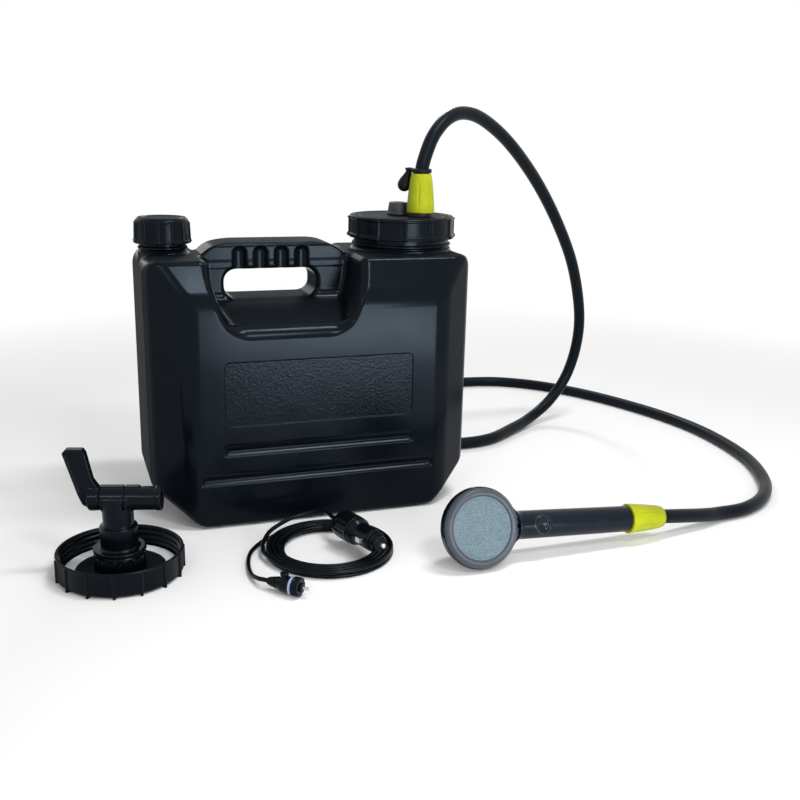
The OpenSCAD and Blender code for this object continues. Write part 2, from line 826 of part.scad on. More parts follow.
module motor_bushes() color("#b08d4a")
  for (z = [motor_z, motor_z + motor_h - motor_plate])
    at_pump(z) ring(bush_r, shaft_r + slip, motor_plate);

module shaft_seal() color("#1d1f21")
  at_pump(chamber_z + chamber_h) ring(bush_r + 0.45, shaft_r + slip, bulkhead_h);

module impeller() color("#c9ccce") {
  vanes = 6;
  disc = 2;
  at_pump(chamber_z + 1.4)
    difference() {
      union() {
        translate([0, 0, 4]) cylinder(r = impeller_d / 2, h = disc);
        cylinder(r = shaft_r + 1.8, h = 4 + disc);
        for (i = [0 : vanes - 1])
          rotate([0, 0, i * 360 / vanes])
            translate([shaft_r + 1, -0.8, 0.6]) cube([impeller_d / 2 - shaft_r - 2, 1.6, 4]);
      }
      translate([0, 0, -1]) cylinder(r = shaft_r + 0.02, h = 10);
    }
}

module inlet_plate() color("#33373b")
  at_pump(chamber_z - inlet_plate_h)
    difference() {
      ring(pump_r, 6, inlet_plate_h);
      for (i = [0 : 2])
        rotate([0, 0, 120 * i])
          translate([screw_ring, 0, -1]) cylinder(r = screw_r + slip, h = inlet_plate_h + 2);
    }

module strainer() color("#2b2e31") {
  slots = 12;
  floor_t = 2.4;
  at_pump(pump_z)
    difference() {
      cylinder(r = pump_r, h = strainer_h);
      translate([0, 0, floor_t]) cylinder(r = chamber_r, h = strainer_h);
      for (i = [0 : slots - 1])
        rotate([0, 0, (i + 0.5) * 360 / slots])
          translate([chamber_r - 2, -1.2, floor_t + 1]) cube([12, 2.4, 7]);
      for (i = [0 : 2])
        rotate([0, 0, 120 * i])
          translate([screw_ring, 0, -1]) cylinder(r = screw_r + slip, h = strainer_h + 2);
    }
}

module pump_screws() color("#cfd2d4")
  at_pump(pump_z)
    for (i = [0 : 2])
      rotate([0, 0, 120 * i])
        translate([screw_ring, 0, 0]) {
          translate([0, 0, -1.4]) cylinder(r = screw_r + 1, h = 1.4);
          translate([0, 0, -0.4]) cylinder(r = screw_r, h = strainer_h + inlet_plate_h + 6.4);
        }

// Shower hose, one tube from the lid's collar to the hand shower's
function shower_point(x) = placed([x, 0, 0], shower_at, shower_turn);
hose_path = smooth(concat(
  [
    [outlet_x, outlet_dy, hose_start], [outlet_x, outlet_dy, collar_top],
    [outlet_x + 4.5, outlet_dy + 3, collar_top + 16]
  ],
  hose_route,
  [shower_point(stem_l + collar_h + 6), shower_point(stem_l + collar_h - 8), shower_point(shower_barb_end)]
), 2);
function path_length(p) = [for (i = [0 : len(p) - 2]) norm(p[i + 1] - p[i])] * [for (i = [0 : len(p) - 2]) 1];
echo(hose_rings = len(hose_path), hose_length = path_length(hose_path));

module hose() color("#26292c") swept_tube(hose_path, hose_r, 10);

// Hand shower
module at_shower() { translate(shower_at) rotate(shower_turn) children(); }
module facing() { rotate([90, 0, 0]) children(); }

module handset_body() color("#24282e")
  at_shower()
    difference() {
      union() {
        facing()
          rotate_extrude()
            polygon([
              [0, -head_back], [head_r - 12, -head_back], [head_r - 3, -head_back + 6], [head_r, -1],
              [head_r, -head_front], [0, -head_front]
            ]);
        difference() {
          cone_x(stem_r, stem_end_r, 20, stem_l);
          facing() translate([0, 0, -head_front]) cylinder(r = head_r + 0.8, h = 30);
        }
        facing() translate([button_x, 0, 0]) cylinder(r = button_r + 2.6, h = stem_r - 0.3);
      }
      facing() translate([0, 0, -head_cup_floor]) cylinder(r = head_cup_r, h = 30);
      difference() {
        rod_x(stem_bore, head_cup_r - 6, stem_l + 1);
        facing() translate([button_x, 0, -stem_r]) cylinder(r = 4, h = stem_r + button_seat);
      }
      facing() translate([button_x, 0, 0]) cylinder(r = button_r + slip, h = 30);
    }

module head_bezel() color("#4b5056")
  at_shower()
    facing()
      translate([0, 0, -head_front])
        rotate_extrude()
          polygon([
            [plate_r, 0], [head_r - 0.6, 0], [head_r - 0.6, 1], [head_r - 2.6, bezel_t - 0.6],
            [head_r - 4.2, bezel_t], [plate_r + 1, bezel_t - 1.6], [plate_r, bezel_t - 2.2]
          ]);

module spray_plate() color("#7f9192") {
  rows = [[0, 1], [7, 6], [14, 12], [21, 18]];
  hole_r = 0.8;
  t = 2.2;
  at_shower()
    facing()
      translate([0, 0, -head_front])
        difference() {
          cylinder(r = plate_r - 0.1, h = t);
          for (row = rows)
            for (i = [0 : row[1] - 1])
              rotate([0, 0, i * 360 / row[1]])
                translate([row[0], 0, -1]) cylinder(r = hole_r, h = t + 2, $fn = 24);
        }
}

module spray_gasket() color("#1d1f21")
  at_shower() facing() translate([0, 0, -head_front - 2]) ring(head_cup_r - slip, head_cup_r - 3.5, 2);

module pause_button() color("#2d3238")
  at_shower()
    facing()
      translate([button_x, 0, 0]) {
        difference() {
          translate([0, 0, -button_top - button_h]) cylinder(r = button_r, h = button_h);
          translate([0, 0, -button_top + 9.2]) sphere(r = 10);
        }
        translate([0, 0, button_foot]) cylinder(r = button_r - 2.2, h = stem_bore - button_foot);
      }

function spring_path(r, length, turns, start) = [
  for (i = [0 : turns * 10]) [r * cos(36 * i), r * sin(36 * i), start + length * i / (turns * 10)]
];

module button_spring() color("#c9ccce")
  at_shower()
    facing()
      translate([button_x, 0, 0])
        swept_tube(spring_path(2.6, button_spring_l, 5, button_seat + spring_wire), spring_wire, 6);

module handset_barb() color("#1d2023")
  at_shower()
    difference() {
      union() {
        rod_x(stem_bore - slip, stem_l - 14, stem_l);
        rod_x(journal_r, stem_l, stem_l + gap + journal_h);
        rod_x(barb_r, stem_l, shower_barb_end - gap / 2);
      }
      rod_x(water_r, stem_l - 20, shower_barb_end + 1);
    }

module handset_collar() color("#c3d024")
  at_shower() translate([stem_l + gap, 0, 0]) rotate([0, 90, 0]) collar();

// Spare lid, open side up, with the tap standing in it
module at_tap() { translate([tap_x, tap_y, 0]) rotate([0, 0, tap_turn]) children(); }

module tap_lid() color("#1b1f24")
  at_tap()
    difference() {
      translate([0, 0, lid_plate]) rotate([180, 0, 0])
        screw_lid(lid_d, lid_h, tap_lid_ribs, rib_h, lid_wall, 2 * lid_lugs);
      translate([0, 0, -1]) cylinder(r = tap_stem_r + slip, h = lid_plate + 2);
    }

module tap_gasket() color("#e6e8e6")
  at_tap() translate([0, 0, lid_plate]) ring(lid_bore - lug_h - 0.6, lid_bore - lug_h - 11, tap_gasket_t);

module tap_washer() color("#26292c")
  at_tap() translate([0, 0, lid_plate]) ring(tap_nut_d / 2 - 3, tap_stem_r + slip, tap_nut_z - lid_plate);

module tap_nut() color("#1d2023") {
  ribs = 16;
  at_tap()
    translate([0, 0, tap_nut_z])
      difference() {
        union() {
          cylinder(r = tap_nut_d / 2 - 1.6, h = tap_flange_z - tap_nut_z);
          for (i = [0 : ribs - 1])
            rotate([0, 0, i * 360 / ribs])
              translate([tap_nut_d / 2 - 3, -1, 0]) cube([3, 2, tap_flange_z - tap_nut_z - 3]);
        }
        translate([0, 0, -1]) cylinder(r = tap_stem_r + slip, h = 40);
      }
}

module tap_body() color("#202429")
  at_tap()
    difference() {
      union() {
        translate([0, 0, 0.4]) cylinder(r = tap_stem_r, h = tap_flange_z);
        translate([0, 0, tap_flange_z]) cylinder(r = tap_nut_d / 2, h = tap_flange_h);
        translate([0, 0, tap_flange_z]) cylinder(r = tap_tube_r, h = tap_step_z - tap_flange_z);
        translate([0, 0, tap_flange_z]) cylinder(r = tap_upper_r, h = barrel_z - tap_flange_z);
        translate([0, 0, barrel_z]) rod_x(barrel_r, barrel_left, barrel_right);
        translate([barrel_left, -3.5, barrel_z]) cube([34, 7, barrel_r + 1.2]);
      }
      translate([0, 0, -1]) cylinder(r = tap_water_r, h = barrel_z + 1);
      translate([0, 0, barrel_z]) rod_x(tap_plug_r + slip, barrel_left - 1, barrel_right + 1);
    }

module tap_plug() color("#24282c")
  at_tap()
    translate([0, 0, barrel_z])
      difference() {
        union() {
          rod_x(tap_plug_r, hub_left, tap_plug_end);
          rod_x(barrel_r, hub_left, barrel_left - gap);
          along_y(9)
            polygon([
              [-44.5, 42], [-41, 45.5], [-27, 45.5], [-24.5, 42], [-19.5, 18], [barrel_left - gap, 10],
              [barrel_left - gap, -9], [-21, -10], [-29.5, -5], [-33, 4]
            ]);
        }
        rod_x(tap_plug_r - 2.6, -8, tap_plug_end + 1);
        translate([0, 0, -barrel_r]) cylinder(r = 4.4, h = barrel_r);
        for (x = oring_x)
          ring_x(tap_plug_r + 1, tap_plug_r - 2 * oring_r, x - oring_r, x + oring_r);
      }

module tap_rings() color("#101112")
  at_tap()
    translate([0, 0, barrel_z])
      for (x = oring_x)
        translate([x, 0, 0])
          rotate([0, 90, 0]) rotate_extrude() translate([tap_plug_r - oring_r, 0]) circle(oring_r - 0.02);

// Coil of the lead
function coil_radius(u) = coil_r - coil_step * (coil_half - abs(u - coil_half));
function coil_height(u) = coil_low + coil_rise * max(0, min(1, (u - coil_half) / 0.5 + 0.5));
function coil_point(u) =
  let (a = coil_start - 360 * u, r = coil_radius(u))
    [coil_at.x + r * cos(a), coil_at.y + r * sin(a), coil_height(u)];
coil_points = [for (i = [0 : coil_steps]) coil_point(i / coil_rings)];
coil_end = coil_start - 360 * coil_steps / coil_rings;
coil_in = coil_points[0] + lead_d * [-sin(coil_start), cos(coil_start), 0];
coil_out = coil_points[coil_steps] + lead_d * [sin(coil_end), -cos(coil_end), 0];
coil_path = concat([coil_in], coil_points, [coil_out]);
coil_least_gap = min([
  for (i = [0 : coil_steps])
    for (j = [i + coil_rings / 2 : 1 : coil_steps]) norm(coil_points[i] - coil_points[j])
]) - lead_d;
echo(coil_least_gap = coil_least_gap, coil_length = path_length(coil_path));

module lead_coil() color("#15171a") swept_tube(coil_path, lead_r, coil_sides, [0, 0, 1]);

// Free stretches of the lead, from the coil to the connector and to the car plug
function along(at, angle, x) = at + [x * cos(angle), x * sin(angle), 0];
tail_path = smooth(concat(
  [coil_in, coil_in + lead_d * [-sin(coil_start), cos(coil_start), 0]],
  tail_route,
  [along(connector_at, connector_heading, -lead_d), connector_at]
), 3);
strand_path = smooth(concat(
  [coil_out, coil_out + lead_d * [sin(coil_end), -cos(coil_end), 0]],
  strand_route,
  [along(car_plug_at, car_plug_heading, -lead_d), car_plug_at]
), 3);
echo(lead_length = path_length(coil_path) + path_length(tail_path) + path_length(strand_path));

module lead_tail() color("#15171a") swept_tube(tail_path, lead_r, 8, [0, 0, 1]);
module plug_strand() color("#15171a") swept_tube(strand_path, lead_r, 8, [0, 0, 1]);

// Car plug
module at_car_plug() { translate(car_plug_at) rotate([0, 0, car_plug_heading]) children(); }
nose_x = relief_l + grip_l;
ring_x0 = nose_x + nose_l;
tip_x = ring_x0 + ring_l;
tip_flange_x = tip_x - 3 - 0.1 - tip_flange;
fuse_x = tip_flange_x - tip_spring_l - fuse_l;

module plug_body() color("#17191c")
  at_car_plug()
    difference() {
      union() {
        cone_x(3.6, 6, 0, relief_l + 1);
        cone_x(car_plug_r - 3, car_plug_r, relief_l, relief_l + 5);
        rod_x(car_plug_r, relief_l + 5, nose_x - 4);
        cone_x(car_plug_r, nose_r, nose_x - 4, nose_x);
        rod_x(nose_r, nose_x - 1, ring_x0);
      }
      rod_x(fuse_r + 2 * slip, fuse_x, ring_x0 + 1);
      for (s = [-1, 1])
        translate([nose_x + 3, s * (nose_r - 1.6) - 2.2, -2.8]) cube([14, 4.4, 5.6]);
    }

module plug_ring() color("#2a2d31")
  at_car_plug()
    difference() {
      cone_x(ring_r, ring_r - 1.6, ring_x0, tip_x);
      rod_x(fuse_r + 2 * slip, ring_x0 - 1, tip_x - 3);
      rod_x(tip_r - 0.8 + slip, ring_x0, tip_x + 1);
    }

module plug_tip() color("#cfd2d4")
  at_car_plug() {
    rod_x(tip_r - 0.8, tip_flange_x, tip_x + tip_l - 1.2);
    rod_x(fuse_r, tip_flange_x, tip_flange_x + tip_flange);
    cone_x(tip_r - 0.8, tip_r - 1.8, tip_x + tip_l - 1.2, tip_x + tip_l);
  }

module plug_contacts() color("#cfd2d4")
  at_car_plug()
    for (s = [-1, 1])
      along_bow(s);

// Bowed side spring of the car plug
module along_bow(s) {
  x0 = nose_x + 3.4;
  translate([0, 0, -2.4])
    linear_extrude(4.8)
      polygon([
        [x0, s * (nose_r - 3.6)], [x0, s * (nose_r - 1)], [x0 + 3.4, s * (nose_r + 1.4)],
        [x0 + 9.6, s * (nose_r + 1.4)], [x0 + 13, s * (nose_r - 1)], [x0 + 13, s * (nose_r - 3.6)]
      ]);
}

module plug_fuse() color("#d8d2c2")
  at_car_plug() rod_x(fuse_r, fuse_x, fuse_x + fuse_l);

module tip_spring() color("#c9ccce")
  at_car_plug()
    translate([fuse_x + fuse_l, 0, 0])
      rotate([0, 90, 0]) swept_tube(spring_path(2.2, tip_spring_l - 2 * tip_wire, 3, tip_wire), tip_wire, 6);

// Connector
module at_connector() { translate(connector_at) rotate([0, 0, connector_heading]) children(); }
connector_ring_x = connector_relief_l + connector_body_l;
connector_nut_x = connector_ring_x + connector_ring_l;
connector_end = connector_nut_x + connector_nose_l;

module connector_body() color("#17191c")
  at_connector() {
    cone_x(3, 5.4, 0, connector_relief_l);
    cone_x(5.4, connector_r - 1.4, connector_relief_l, connector_relief_l + 4);
    rod_x(connector_r - 1.4, connector_relief_l + 4, connector_ring_x);
    translate([connector_ring_x - 5, 0, connector_r - 3]) cylinder(r = 2.2, h = 5);
    rod_x(connector_nose_r, connector_ring_x - 1, connector_end);
  }

module connector_ring() color("#cdd6de")
  at_connector() ring_x(connector_r - 0.4, connector_nose_r + slip, connector_ring_x, connector_nut_x - 0.1);

module connector_nut() color("#1d2023") {
  notches = 8;
  at_connector()
    difference() {
      ring_x(connector_r, connector_nose_r + slip, connector_nut_x, connector_nut_x + connector_nut_l);
      for (i = [0 : notches - 1])
        rotate([i * 360 / notches, 0, 0])
          translate([0, 0, connector_r + 0.4])
            rod_x(1.2, connector_nut_x + 1.5, connector_nut_x + connector_nut_l + 1);
    }
}

module connector_pin() color("#d9dcde")
  at_connector() rod_x(1.5, connector_end, connector_end + connector_pin_l);

carrier_body();
fill_cap();
fill_cap_seal();
pump_lid();
pump_lid_seal();
power_socket();
socket_pin();
socket_gasket();
socket_nut();
hose_spigot();
spigot_gasket();
spigot_nut();
lid_collar();
dust_plug();
inner_hose();
pump_cable();
pump_cap();
pump_housing();
motor_can();
motor_cap();
motor_magnets();
armature();
motor_shaft();
commutator();
motor_brushes();
motor_bushes();
shaft_seal();
impeller();
inlet_plate();
strainer();
pump_screws();
hose();
handset_body();
head_bezel();
spray_plate();
spray_gasket();
pause_button();
button_spring();
handset_barb();
handset_collar();
tap_lid();
tap_gasket();
tap_washer();
tap_nut();
tap_body();
tap_plug();
tap_rings();
lead_coil();
lead_tail();
plug_strand();
plug_body();
plug_ring();
plug_tip();
plug_contacts();
plug_fuse();
tip_spring();
connector_body();
connector_ring();
connector_nut();
connector_pin();
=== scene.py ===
"""Looks of a camp shower kit: carrier with pump lid, hose and hand shower, spare lid with tap, and lead."""

import math

import bmesh
import bpy
import numpy as np
import openvdb
from mathutils import Euler, Matrix, Vector


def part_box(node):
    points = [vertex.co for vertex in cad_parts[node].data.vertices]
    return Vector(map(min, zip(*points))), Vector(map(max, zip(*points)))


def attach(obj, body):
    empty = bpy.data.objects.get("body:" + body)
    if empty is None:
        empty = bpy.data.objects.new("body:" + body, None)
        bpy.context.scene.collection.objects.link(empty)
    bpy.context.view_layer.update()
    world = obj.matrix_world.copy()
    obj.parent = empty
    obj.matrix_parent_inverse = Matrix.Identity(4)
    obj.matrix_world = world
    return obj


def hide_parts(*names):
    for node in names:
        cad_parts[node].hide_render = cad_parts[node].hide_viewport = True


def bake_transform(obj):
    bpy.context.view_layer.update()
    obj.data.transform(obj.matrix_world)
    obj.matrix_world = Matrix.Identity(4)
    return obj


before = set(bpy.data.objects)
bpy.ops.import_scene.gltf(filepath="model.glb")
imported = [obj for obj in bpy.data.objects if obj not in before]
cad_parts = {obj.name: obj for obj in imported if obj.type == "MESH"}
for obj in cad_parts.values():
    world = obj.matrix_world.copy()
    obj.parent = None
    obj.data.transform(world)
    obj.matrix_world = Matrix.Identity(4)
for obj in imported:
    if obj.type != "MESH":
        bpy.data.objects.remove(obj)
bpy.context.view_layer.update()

MM = 0.001


def box_mm(name):
    """Lowest and highest corner of a node in millimetres."""
    return [np.array(corner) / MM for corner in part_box(name)]


def turned(at, x, y, z):
    """A place with a turn about X, then Y, then Z, in millimetres and degrees."""
    return Matrix.Translation(at) @ Euler([math.radians(a) for a in (x, y, z)]).to_matrix().to_4x4()


# Sizes in millimetres, as in the part's source
CAN_LOW, CAN_HIGH = box_mm("carrier_body")
CAN_W = CAN_HIGH[0] - CAN_LOW[0]
CAN_D = CAN_HIGH[1] - CAN_LOW[1]
CAN_TOP = 264
NECK_TOP = CAN_HIGH[2]
WALL = 3.2
CORNER = (37, 26)
FOOT = (48, 40)
SLOPE = (18, 38)
CROWN = 8
SCOOP_X = (-104, 43)
SCOOP_LIP = 197
SCOOP_KNEE = (21, 28)
LEDGE_Z = 220
HANDLE_D = 44
GRIP_Z = (250, 275)
FINGER_X = (-84, 10)
PANEL = (191, 64)
PANEL_Z = 136
PANEL_DEEP = 1.0
GROOVES = ((76.5, 189), (47.5, 235))
GROOVE_DEEP = 4
PITCH = 5

LID_LOW, LID_HIGH = box_mm("pump_lid")
LID_X = (LID_LOW[0] + LID_HIGH[0]) / 2
LID_R = (LID_HIGH[0] - LID_LOW[0]) / 2
LID_H = LID_HIGH[2] - LID_LOW[2]
LID_PLATE = 3
LID_BORE = LID_R - 3.9
CAP_LOW, CAP_HIGH = box_mm("fill_cap")
CAP_X = (CAP_LOW[0] + CAP_HIGH[0]) / 2
CAP_R = (CAP_HIGH[0] - CAP_LOW[0]) / 2
CAP_H = CAP_HIGH[2] - CAP_LOW[2]
CAP_BORE = CAP_R - 3.9
NECK_WALL = 3
LID_NECK_R = LID_BORE - 2.4
CAP_NECK_R = CAP_BORE - 2.4

COLLAR_LOW, COLLAR_HIGH = box_mm("lid_collar")
COLLAR_H = COLLAR_HIGH[2] - COLLAR_LOW[2]
COLLAR_R = (COLLAR_HIGH[0] - COLLAR_LOW[0]) / 2
COLLAR_TIP_R = 10.25
OUTLET = (120, -24)
SOCKET_LOW, SOCKET_HIGH = box_mm("power_socket")
SOCKET = (103.5, -2)
SOCKET_R = 12
SOCKET_H = 12.5

HOSE_D = 14
SHOWER = turned((107, -227, 36.1), -18, 4, 1)
FACING = SHOWER @ turned((0, 0, 0), 90, 0, 0)
HEAD_R = 37.5
FACE_Y = 9
PLATE_R = 30.5
STEM_R = (13.5, 12.5)
STEM_L = 161
BUTTON_X = 62
BUTTON_R = 6.3

TAP = turned((-204, -150, 0), 0, 0, -16)
BARREL_Z = 70
BARREL_R = 10.5
BARREL_X = (-14, 39)
TAP_FLANGE_Z = 21
TAP_STEP_Z = 45.5
TAP_NUT_R = 23
TAP_HOLE_R = 12.05

LEAD_D = 4
COIL_AT = (-15.5, -162)
COIL_START = 125
COIL_TURNS = 7.847
COIL_R = 61
COIL_STEP = 4.5
COIL_LOW = LEAD_D / 2 + 0.1
COIL_RISE = 4.6
CAR_PLUG = turned((-2.8, -138.5, 22.6), 0, 0, -72)
CAR_PLUG_R = 13.5
CONNECTOR = turned((-87, -223, 8.7), 0, 0, -42)
CONNECTOR_R = 8.5


# Mesh helpers: points are in millimetres, meshes in metres

def make(name, points, faces, normals=None, at=Matrix.Identity(4)):
    """A smooth mesh object from points in the place given by at."""
    turn = np.array(at.to_3x3())
    points = (np.asarray(points, float) @ turn.T + np.array(at.translation)) * MM
    mesh = bpy.data.meshes.new(name)
    mesh.from_pydata(points.tolist(), [], faces)
    mesh.shade_smooth()
    if normals is not None:
        mesh.normals_split_custom_set_from_vertices((normals @ turn.T).tolist())
    obj = bpy.data.objects.new(name, mesh)
    bpy.context.scene.collection.objects.link(obj)
    return obj


def cut(a, b, r):
    """Field of what lies in both a and b, with edges rounded by r."""
    return np.minimum(-r, np.maximum(a, b)) + np.hypot(np.maximum(a + r, 0), np.maximum(b + r, 0))


def join(a, b, r):
    """Field of what lies in a or b, with a fillet of r between them."""
    return -cut(-a, -b, r)


def line(u, v, u0, v0, u1, v1):
    """Field of the side to the left of the line from the first point to the second."""
    return ((u - u0) * (v1 - v0) - (v - v0) * (u1 - u0)) / math.hypot(u1 - u0, v1 - v0)


def outline_field(points, u, v):
    """Field of a closed outline, as the distance to its nearest side."""
    nearest = 1e9
    inside = False
    for (u0, v0), (u1, v1) in zip(points, points[1:] + points[:1]):
        du, dv = u1 - u0, v1 - v0
        t = np.clip(((u - u0) * du + (v - v0) * dv) / (du * du + dv * dv), 0, 1)
        nearest = np.minimum(nearest, np.hypot(u - u0 - t * du, v - v0 - t * dv))
        if dv:
            crossing = ((v0 > v) != (v1 > v)) & (u < (v - v0) * du / dv + u0)
            inside = inside ^ crossing
    return np.where(inside, -nearest, nearest)


def stops(low, high, step, *fine):
    """Sample places from low to high, closer together round each (centre, half width, step)."""
    places = np.arange(low, high + step, step)
    for centre, half, small in fine:
        places = places[np.abs(places - centre) > half + small / 2]
        places = np.append(places, np.arange(centre - half, centre + half + small / 2, small))
    return np.sort(places)


def surface(name, field, xs, ys, zs, at=Matrix.Identity(4)):
    """Wraps the zero level of a field over the sample places in a mesh with the field's own normals."""
    axes = (xs, ys, zs)
    values = field(xs[:, None, None], ys[None, :, None], zs[None, None, :])
    values = np.broadcast_to(values, [len(a) for a in axes])
    grid = openvdb.FloatGrid()
    grid.copyFromArray(np.ascontiguousarray(values, np.float32))
    found, quads = grid.convertToQuads()
    points = np.column_stack([np.interp(found[:, i], np.arange(len(a)), a) for i, a in enumerate(axes)])
    reach = 0.15
    normals = np.zeros_like(points)
    for i in range(3):
        step = np.zeros(3)
        step[i] = reach
        normals[:, i] = field(*(points + step).T) - field(*(points - step).T)
    normals /= np.maximum(np.linalg.norm(normals, axis=1), 1e-9)[:, None]
    corner = points[quads]
    facing = np.cross(corner[:, 2] - corner[:, 0], corner[:, 3] - corner[:, 1])
    if np.einsum("ij,ij->i", facing, normals[quads[:, 0]]).sum() < 0:
        quads = quads[:, ::-1]
    return make(name, points, quads.tolist(), normals, at)


def rounded(points, radius, steps=4):
    """An outline with each inner corner turned into an arc."""
    points = [np.array(p, float) for p in points]
    result = [points[0]]
    for before, corner, after in zip(points, points[1:], points[2:]):
        a, b = before - corner, after - corner
        reach = min(radius, np.linalg.norm(a) * 0.45, np.linalg.norm(b) * 0.45)
        start = corner + a / np.linalg.norm(a) * reach
        end = corner + b / np.linalg.norm(b) * reach
        for i in range(steps + 1):
            t = i / steps
            result.append((1 - t) ** 2 * start + 2 * t * (1 - t) * corner + t * t * end)
    result.append(points[-1])
    return result


def filled(outline, step):
    """An outline with its long sides split into steps."""
    result = [np.array(outline[0], float)]
    for end in outline[1:]:
        start, end = result[-1], np.array(end, float)
        count = max(1, math.ceil(np.linalg.norm(end - start) / step))
        result += [start + (end - start) * (i + 1) / count for i in range(count)]
    return result


def lathe(name, outline, count=96, at=Matrix.Identity(4), swell=None):
    """Turns an outline of (radius, height) about Z. swell(angle, radius, height) gives an extra radius."""
    outline = np.array(outline, float)
    rows = len(outline)
    angle = np.tile(np.arange(count) * 2 * math.pi / count, (rows, 1))
    radius = np.tile(outline[:, :1], (1, count))
    height = np.tile(outline[:, 1:], (1, count))
    if swell:
        radius = radius + np.where(radius > 1e-6, swell(angle, radius, height), 0)
    points = np.stack([radius * np.cos(angle), radius * np.sin(angle), height], -1).reshape(-1, 3)
    place = np.arange(rows * count).reshape(rows, count)
    after = np.roll(place, -1, 1)
    quads = np.stack([place[:-1], after[:-1], after[1:], place[1:]], -1).reshape(-1, 4)
    obj = make(name, points, quads.tolist(), at=at)
    tidy_mesh(obj)
    obj.modifiers.new("even_normals", "WEIGHTED_NORMAL").weight = 80
    return obj


def tidy_mesh(obj):
    """Merges points that meet and turns all faces outwards."""
    bm = bmesh.new()
    bm.from_mesh(obj.data)
    bmesh.ops.remove_doubles(bm, verts=bm.verts, dist=1e-6)
    bmesh.ops.recalc_face_normals(bm, faces=bm.faces)
    bm.to_mesh(obj.data)
    bm.free()
    obj.data.shade_smooth()


def ribs(count, width, height, low, high, soft=0.35, shift=0.5):
    """Swell of upright ribs, or grooves where height is negative, between two heights."""
    pitch = 2 * math.pi / count

    def swell(angle, radius, z):
        off = np.abs((angle - shift * pitch + pitch / 2) % pitch - pitch / 2) * radius
        side = np.clip((width / 2 + soft - off) / (2 * soft), 0, 1)
        ends = np.clip((z - low) / soft, 0, 1) * np.clip((high - z) / soft, 0, 1)
        return height * side * side * (3 - 2 * side) * ends
    return swell


def spline(points, per):
    """A smooth path through the points, with so many steps between each two."""
    points = [np.array(p, float) for p in points]
    path = []
    for i in range(len(points) - 1):
        a, b = points[max(i - 1, 0)], points[i]
        c, d = points[i + 1], points[min(i + 2, len(points) - 1)]
        for t in np.arange(per) / per:
            bend = (2 * a - 5 * b + 4 * c - d) * t ** 2 + (3 * b - a - 3 * c + d) * t ** 3
            path.append((2 * b + (c - a) * t + bend) / 2)
    path.append(points[-1])
    return path


def tube(name, path, radius, sides):
    """A closed round tube swept along a path."""
    path = np.array(path, float)
    heading = np.gradient(path, axis=0)
    heading /= np.linalg.norm(heading, axis=1)[:, None]
    slant = (0.31, 0.55, 0.77)
    side = np.cross(heading[0], slant)
    turns = np.arange(sides)[:, None] * 2 * math.pi / sides
    rings = []
    for place, way in zip(path, heading):
        side = side - way * (side @ way)
        side /= np.linalg.norm(side)
        rings.append(place + radius * (np.cos(turns) * side + np.sin(turns) * np.cross(way, side)))
    index = np.arange(len(path) * sides).reshape(len(path), sides)
    after = np.roll(index, -1, 1)
    faces = np.stack([index[:-1], after[:-1], after[1:], index[1:]], -1).reshape(-1, 4).tolist()
    faces += [index[0][::-1].tolist(), index[-1].tolist()]
    return make(name, np.concatenate(rings), faces)


# Materials

def shader(name, colour, roughness, metallic=0.0, specular=0.5, tint=(1, 1, 1)):
    """A new material with a principled shader; returns it with its node tree and shader node."""
    material = bpy.data.materials.new(name)
    material.use_nodes = True
    tree = material.node_tree
    principled = tree.nodes["Principled BSDF"]
    principled.inputs["Base Color"].default_value = (*colour, 1)
    principled.inputs["Roughness"].default_value = roughness
    principled.inputs["Metallic"].default_value = metallic
    principled.inputs["Specular IOR Level"].default_value = specular
    principled.inputs["Specular Tint"].default_value = (*tint, 1)
    return material, tree, principled


def add_node(tree, kind, values, **links):
    """A node with values set by name and other nodes' outputs linked to its sockets."""
    made = tree.nodes.new(kind)
    for key, value in values.items():
        if key in made.inputs:
            made.inputs[key].default_value = value
        else:
            setattr(made, key, value)
    for key, source in links.items():
        tree.links.new(source, made.inputs[key])
    return made


def coordinate(tree, output="Object"):
    """The piece's own place, or another output of its coordinates."""
    return add_node(tree, "ShaderNodeTexCoord", {}).outputs[output]


def noise(tree, scale, detail=2.0, stretch=None):
    """Noise over the piece's own place, so many features a metre."""
    place = coordinate(tree)
    if stretch:
        place = add_node(tree, "ShaderNodeMapping", {"Scale": stretch}, Vector=place).outputs["Vector"]
    values = {"Scale": scale, "Detail": detail}
    return add_node(tree, "ShaderNodeTexNoise", values, Vector=place).outputs["Fac"]


def spread(tree, fac, low, high, from_low=0.3, from_high=0.7):
    """A factor stretched to run from low to high."""
    values = {"From Min": from_low, "From Max": from_high, "To Min": low, "To Max": high}
    return add_node(tree, "ShaderNodeMapRange", values, Value=fac).outputs["Result"]


def mixed(tree, fac, first, second, blend="MIX"):
    """A colour between two, each a colour or another node's output, by a factor or a number."""
    made = add_node(tree, "ShaderNodeMix", {"data_type": "RGBA", "blend_type": blend})
    for socket, value in ((0, fac), (6, first), (7, second)):
        if isinstance(value, bpy.types.NodeSocket):
            tree.links.new(value, made.inputs[socket])
        elif socket:
            made.inputs[socket].default_value = (*value, 1)
        else:
            made.inputs[socket].default_value = value
    return made.outputs[2]


def bumped(tree, principled, height, distance, strength=0.6):
    """Bump from a height factor."""
    bump = add_node(tree, "ShaderNodeBump", {"Strength": strength, "Distance": distance}, Height=height)
    tree.links.new(bump.outputs["Normal"], principled.inputs["Normal"])


def worked(tree, operation, first, second, third=None):
    """Result of a sum on outputs or numbers."""
    made = add_node(tree, "ShaderNodeMath", {"operation": operation})
    for socket, value in enumerate((first, second, third)):
        if isinstance(value, bpy.types.NodeSocket):
            tree.links.new(value, made.inputs[socket])
        elif value is not None:
            made.inputs[socket].default_value = value
    return made.outputs[0]


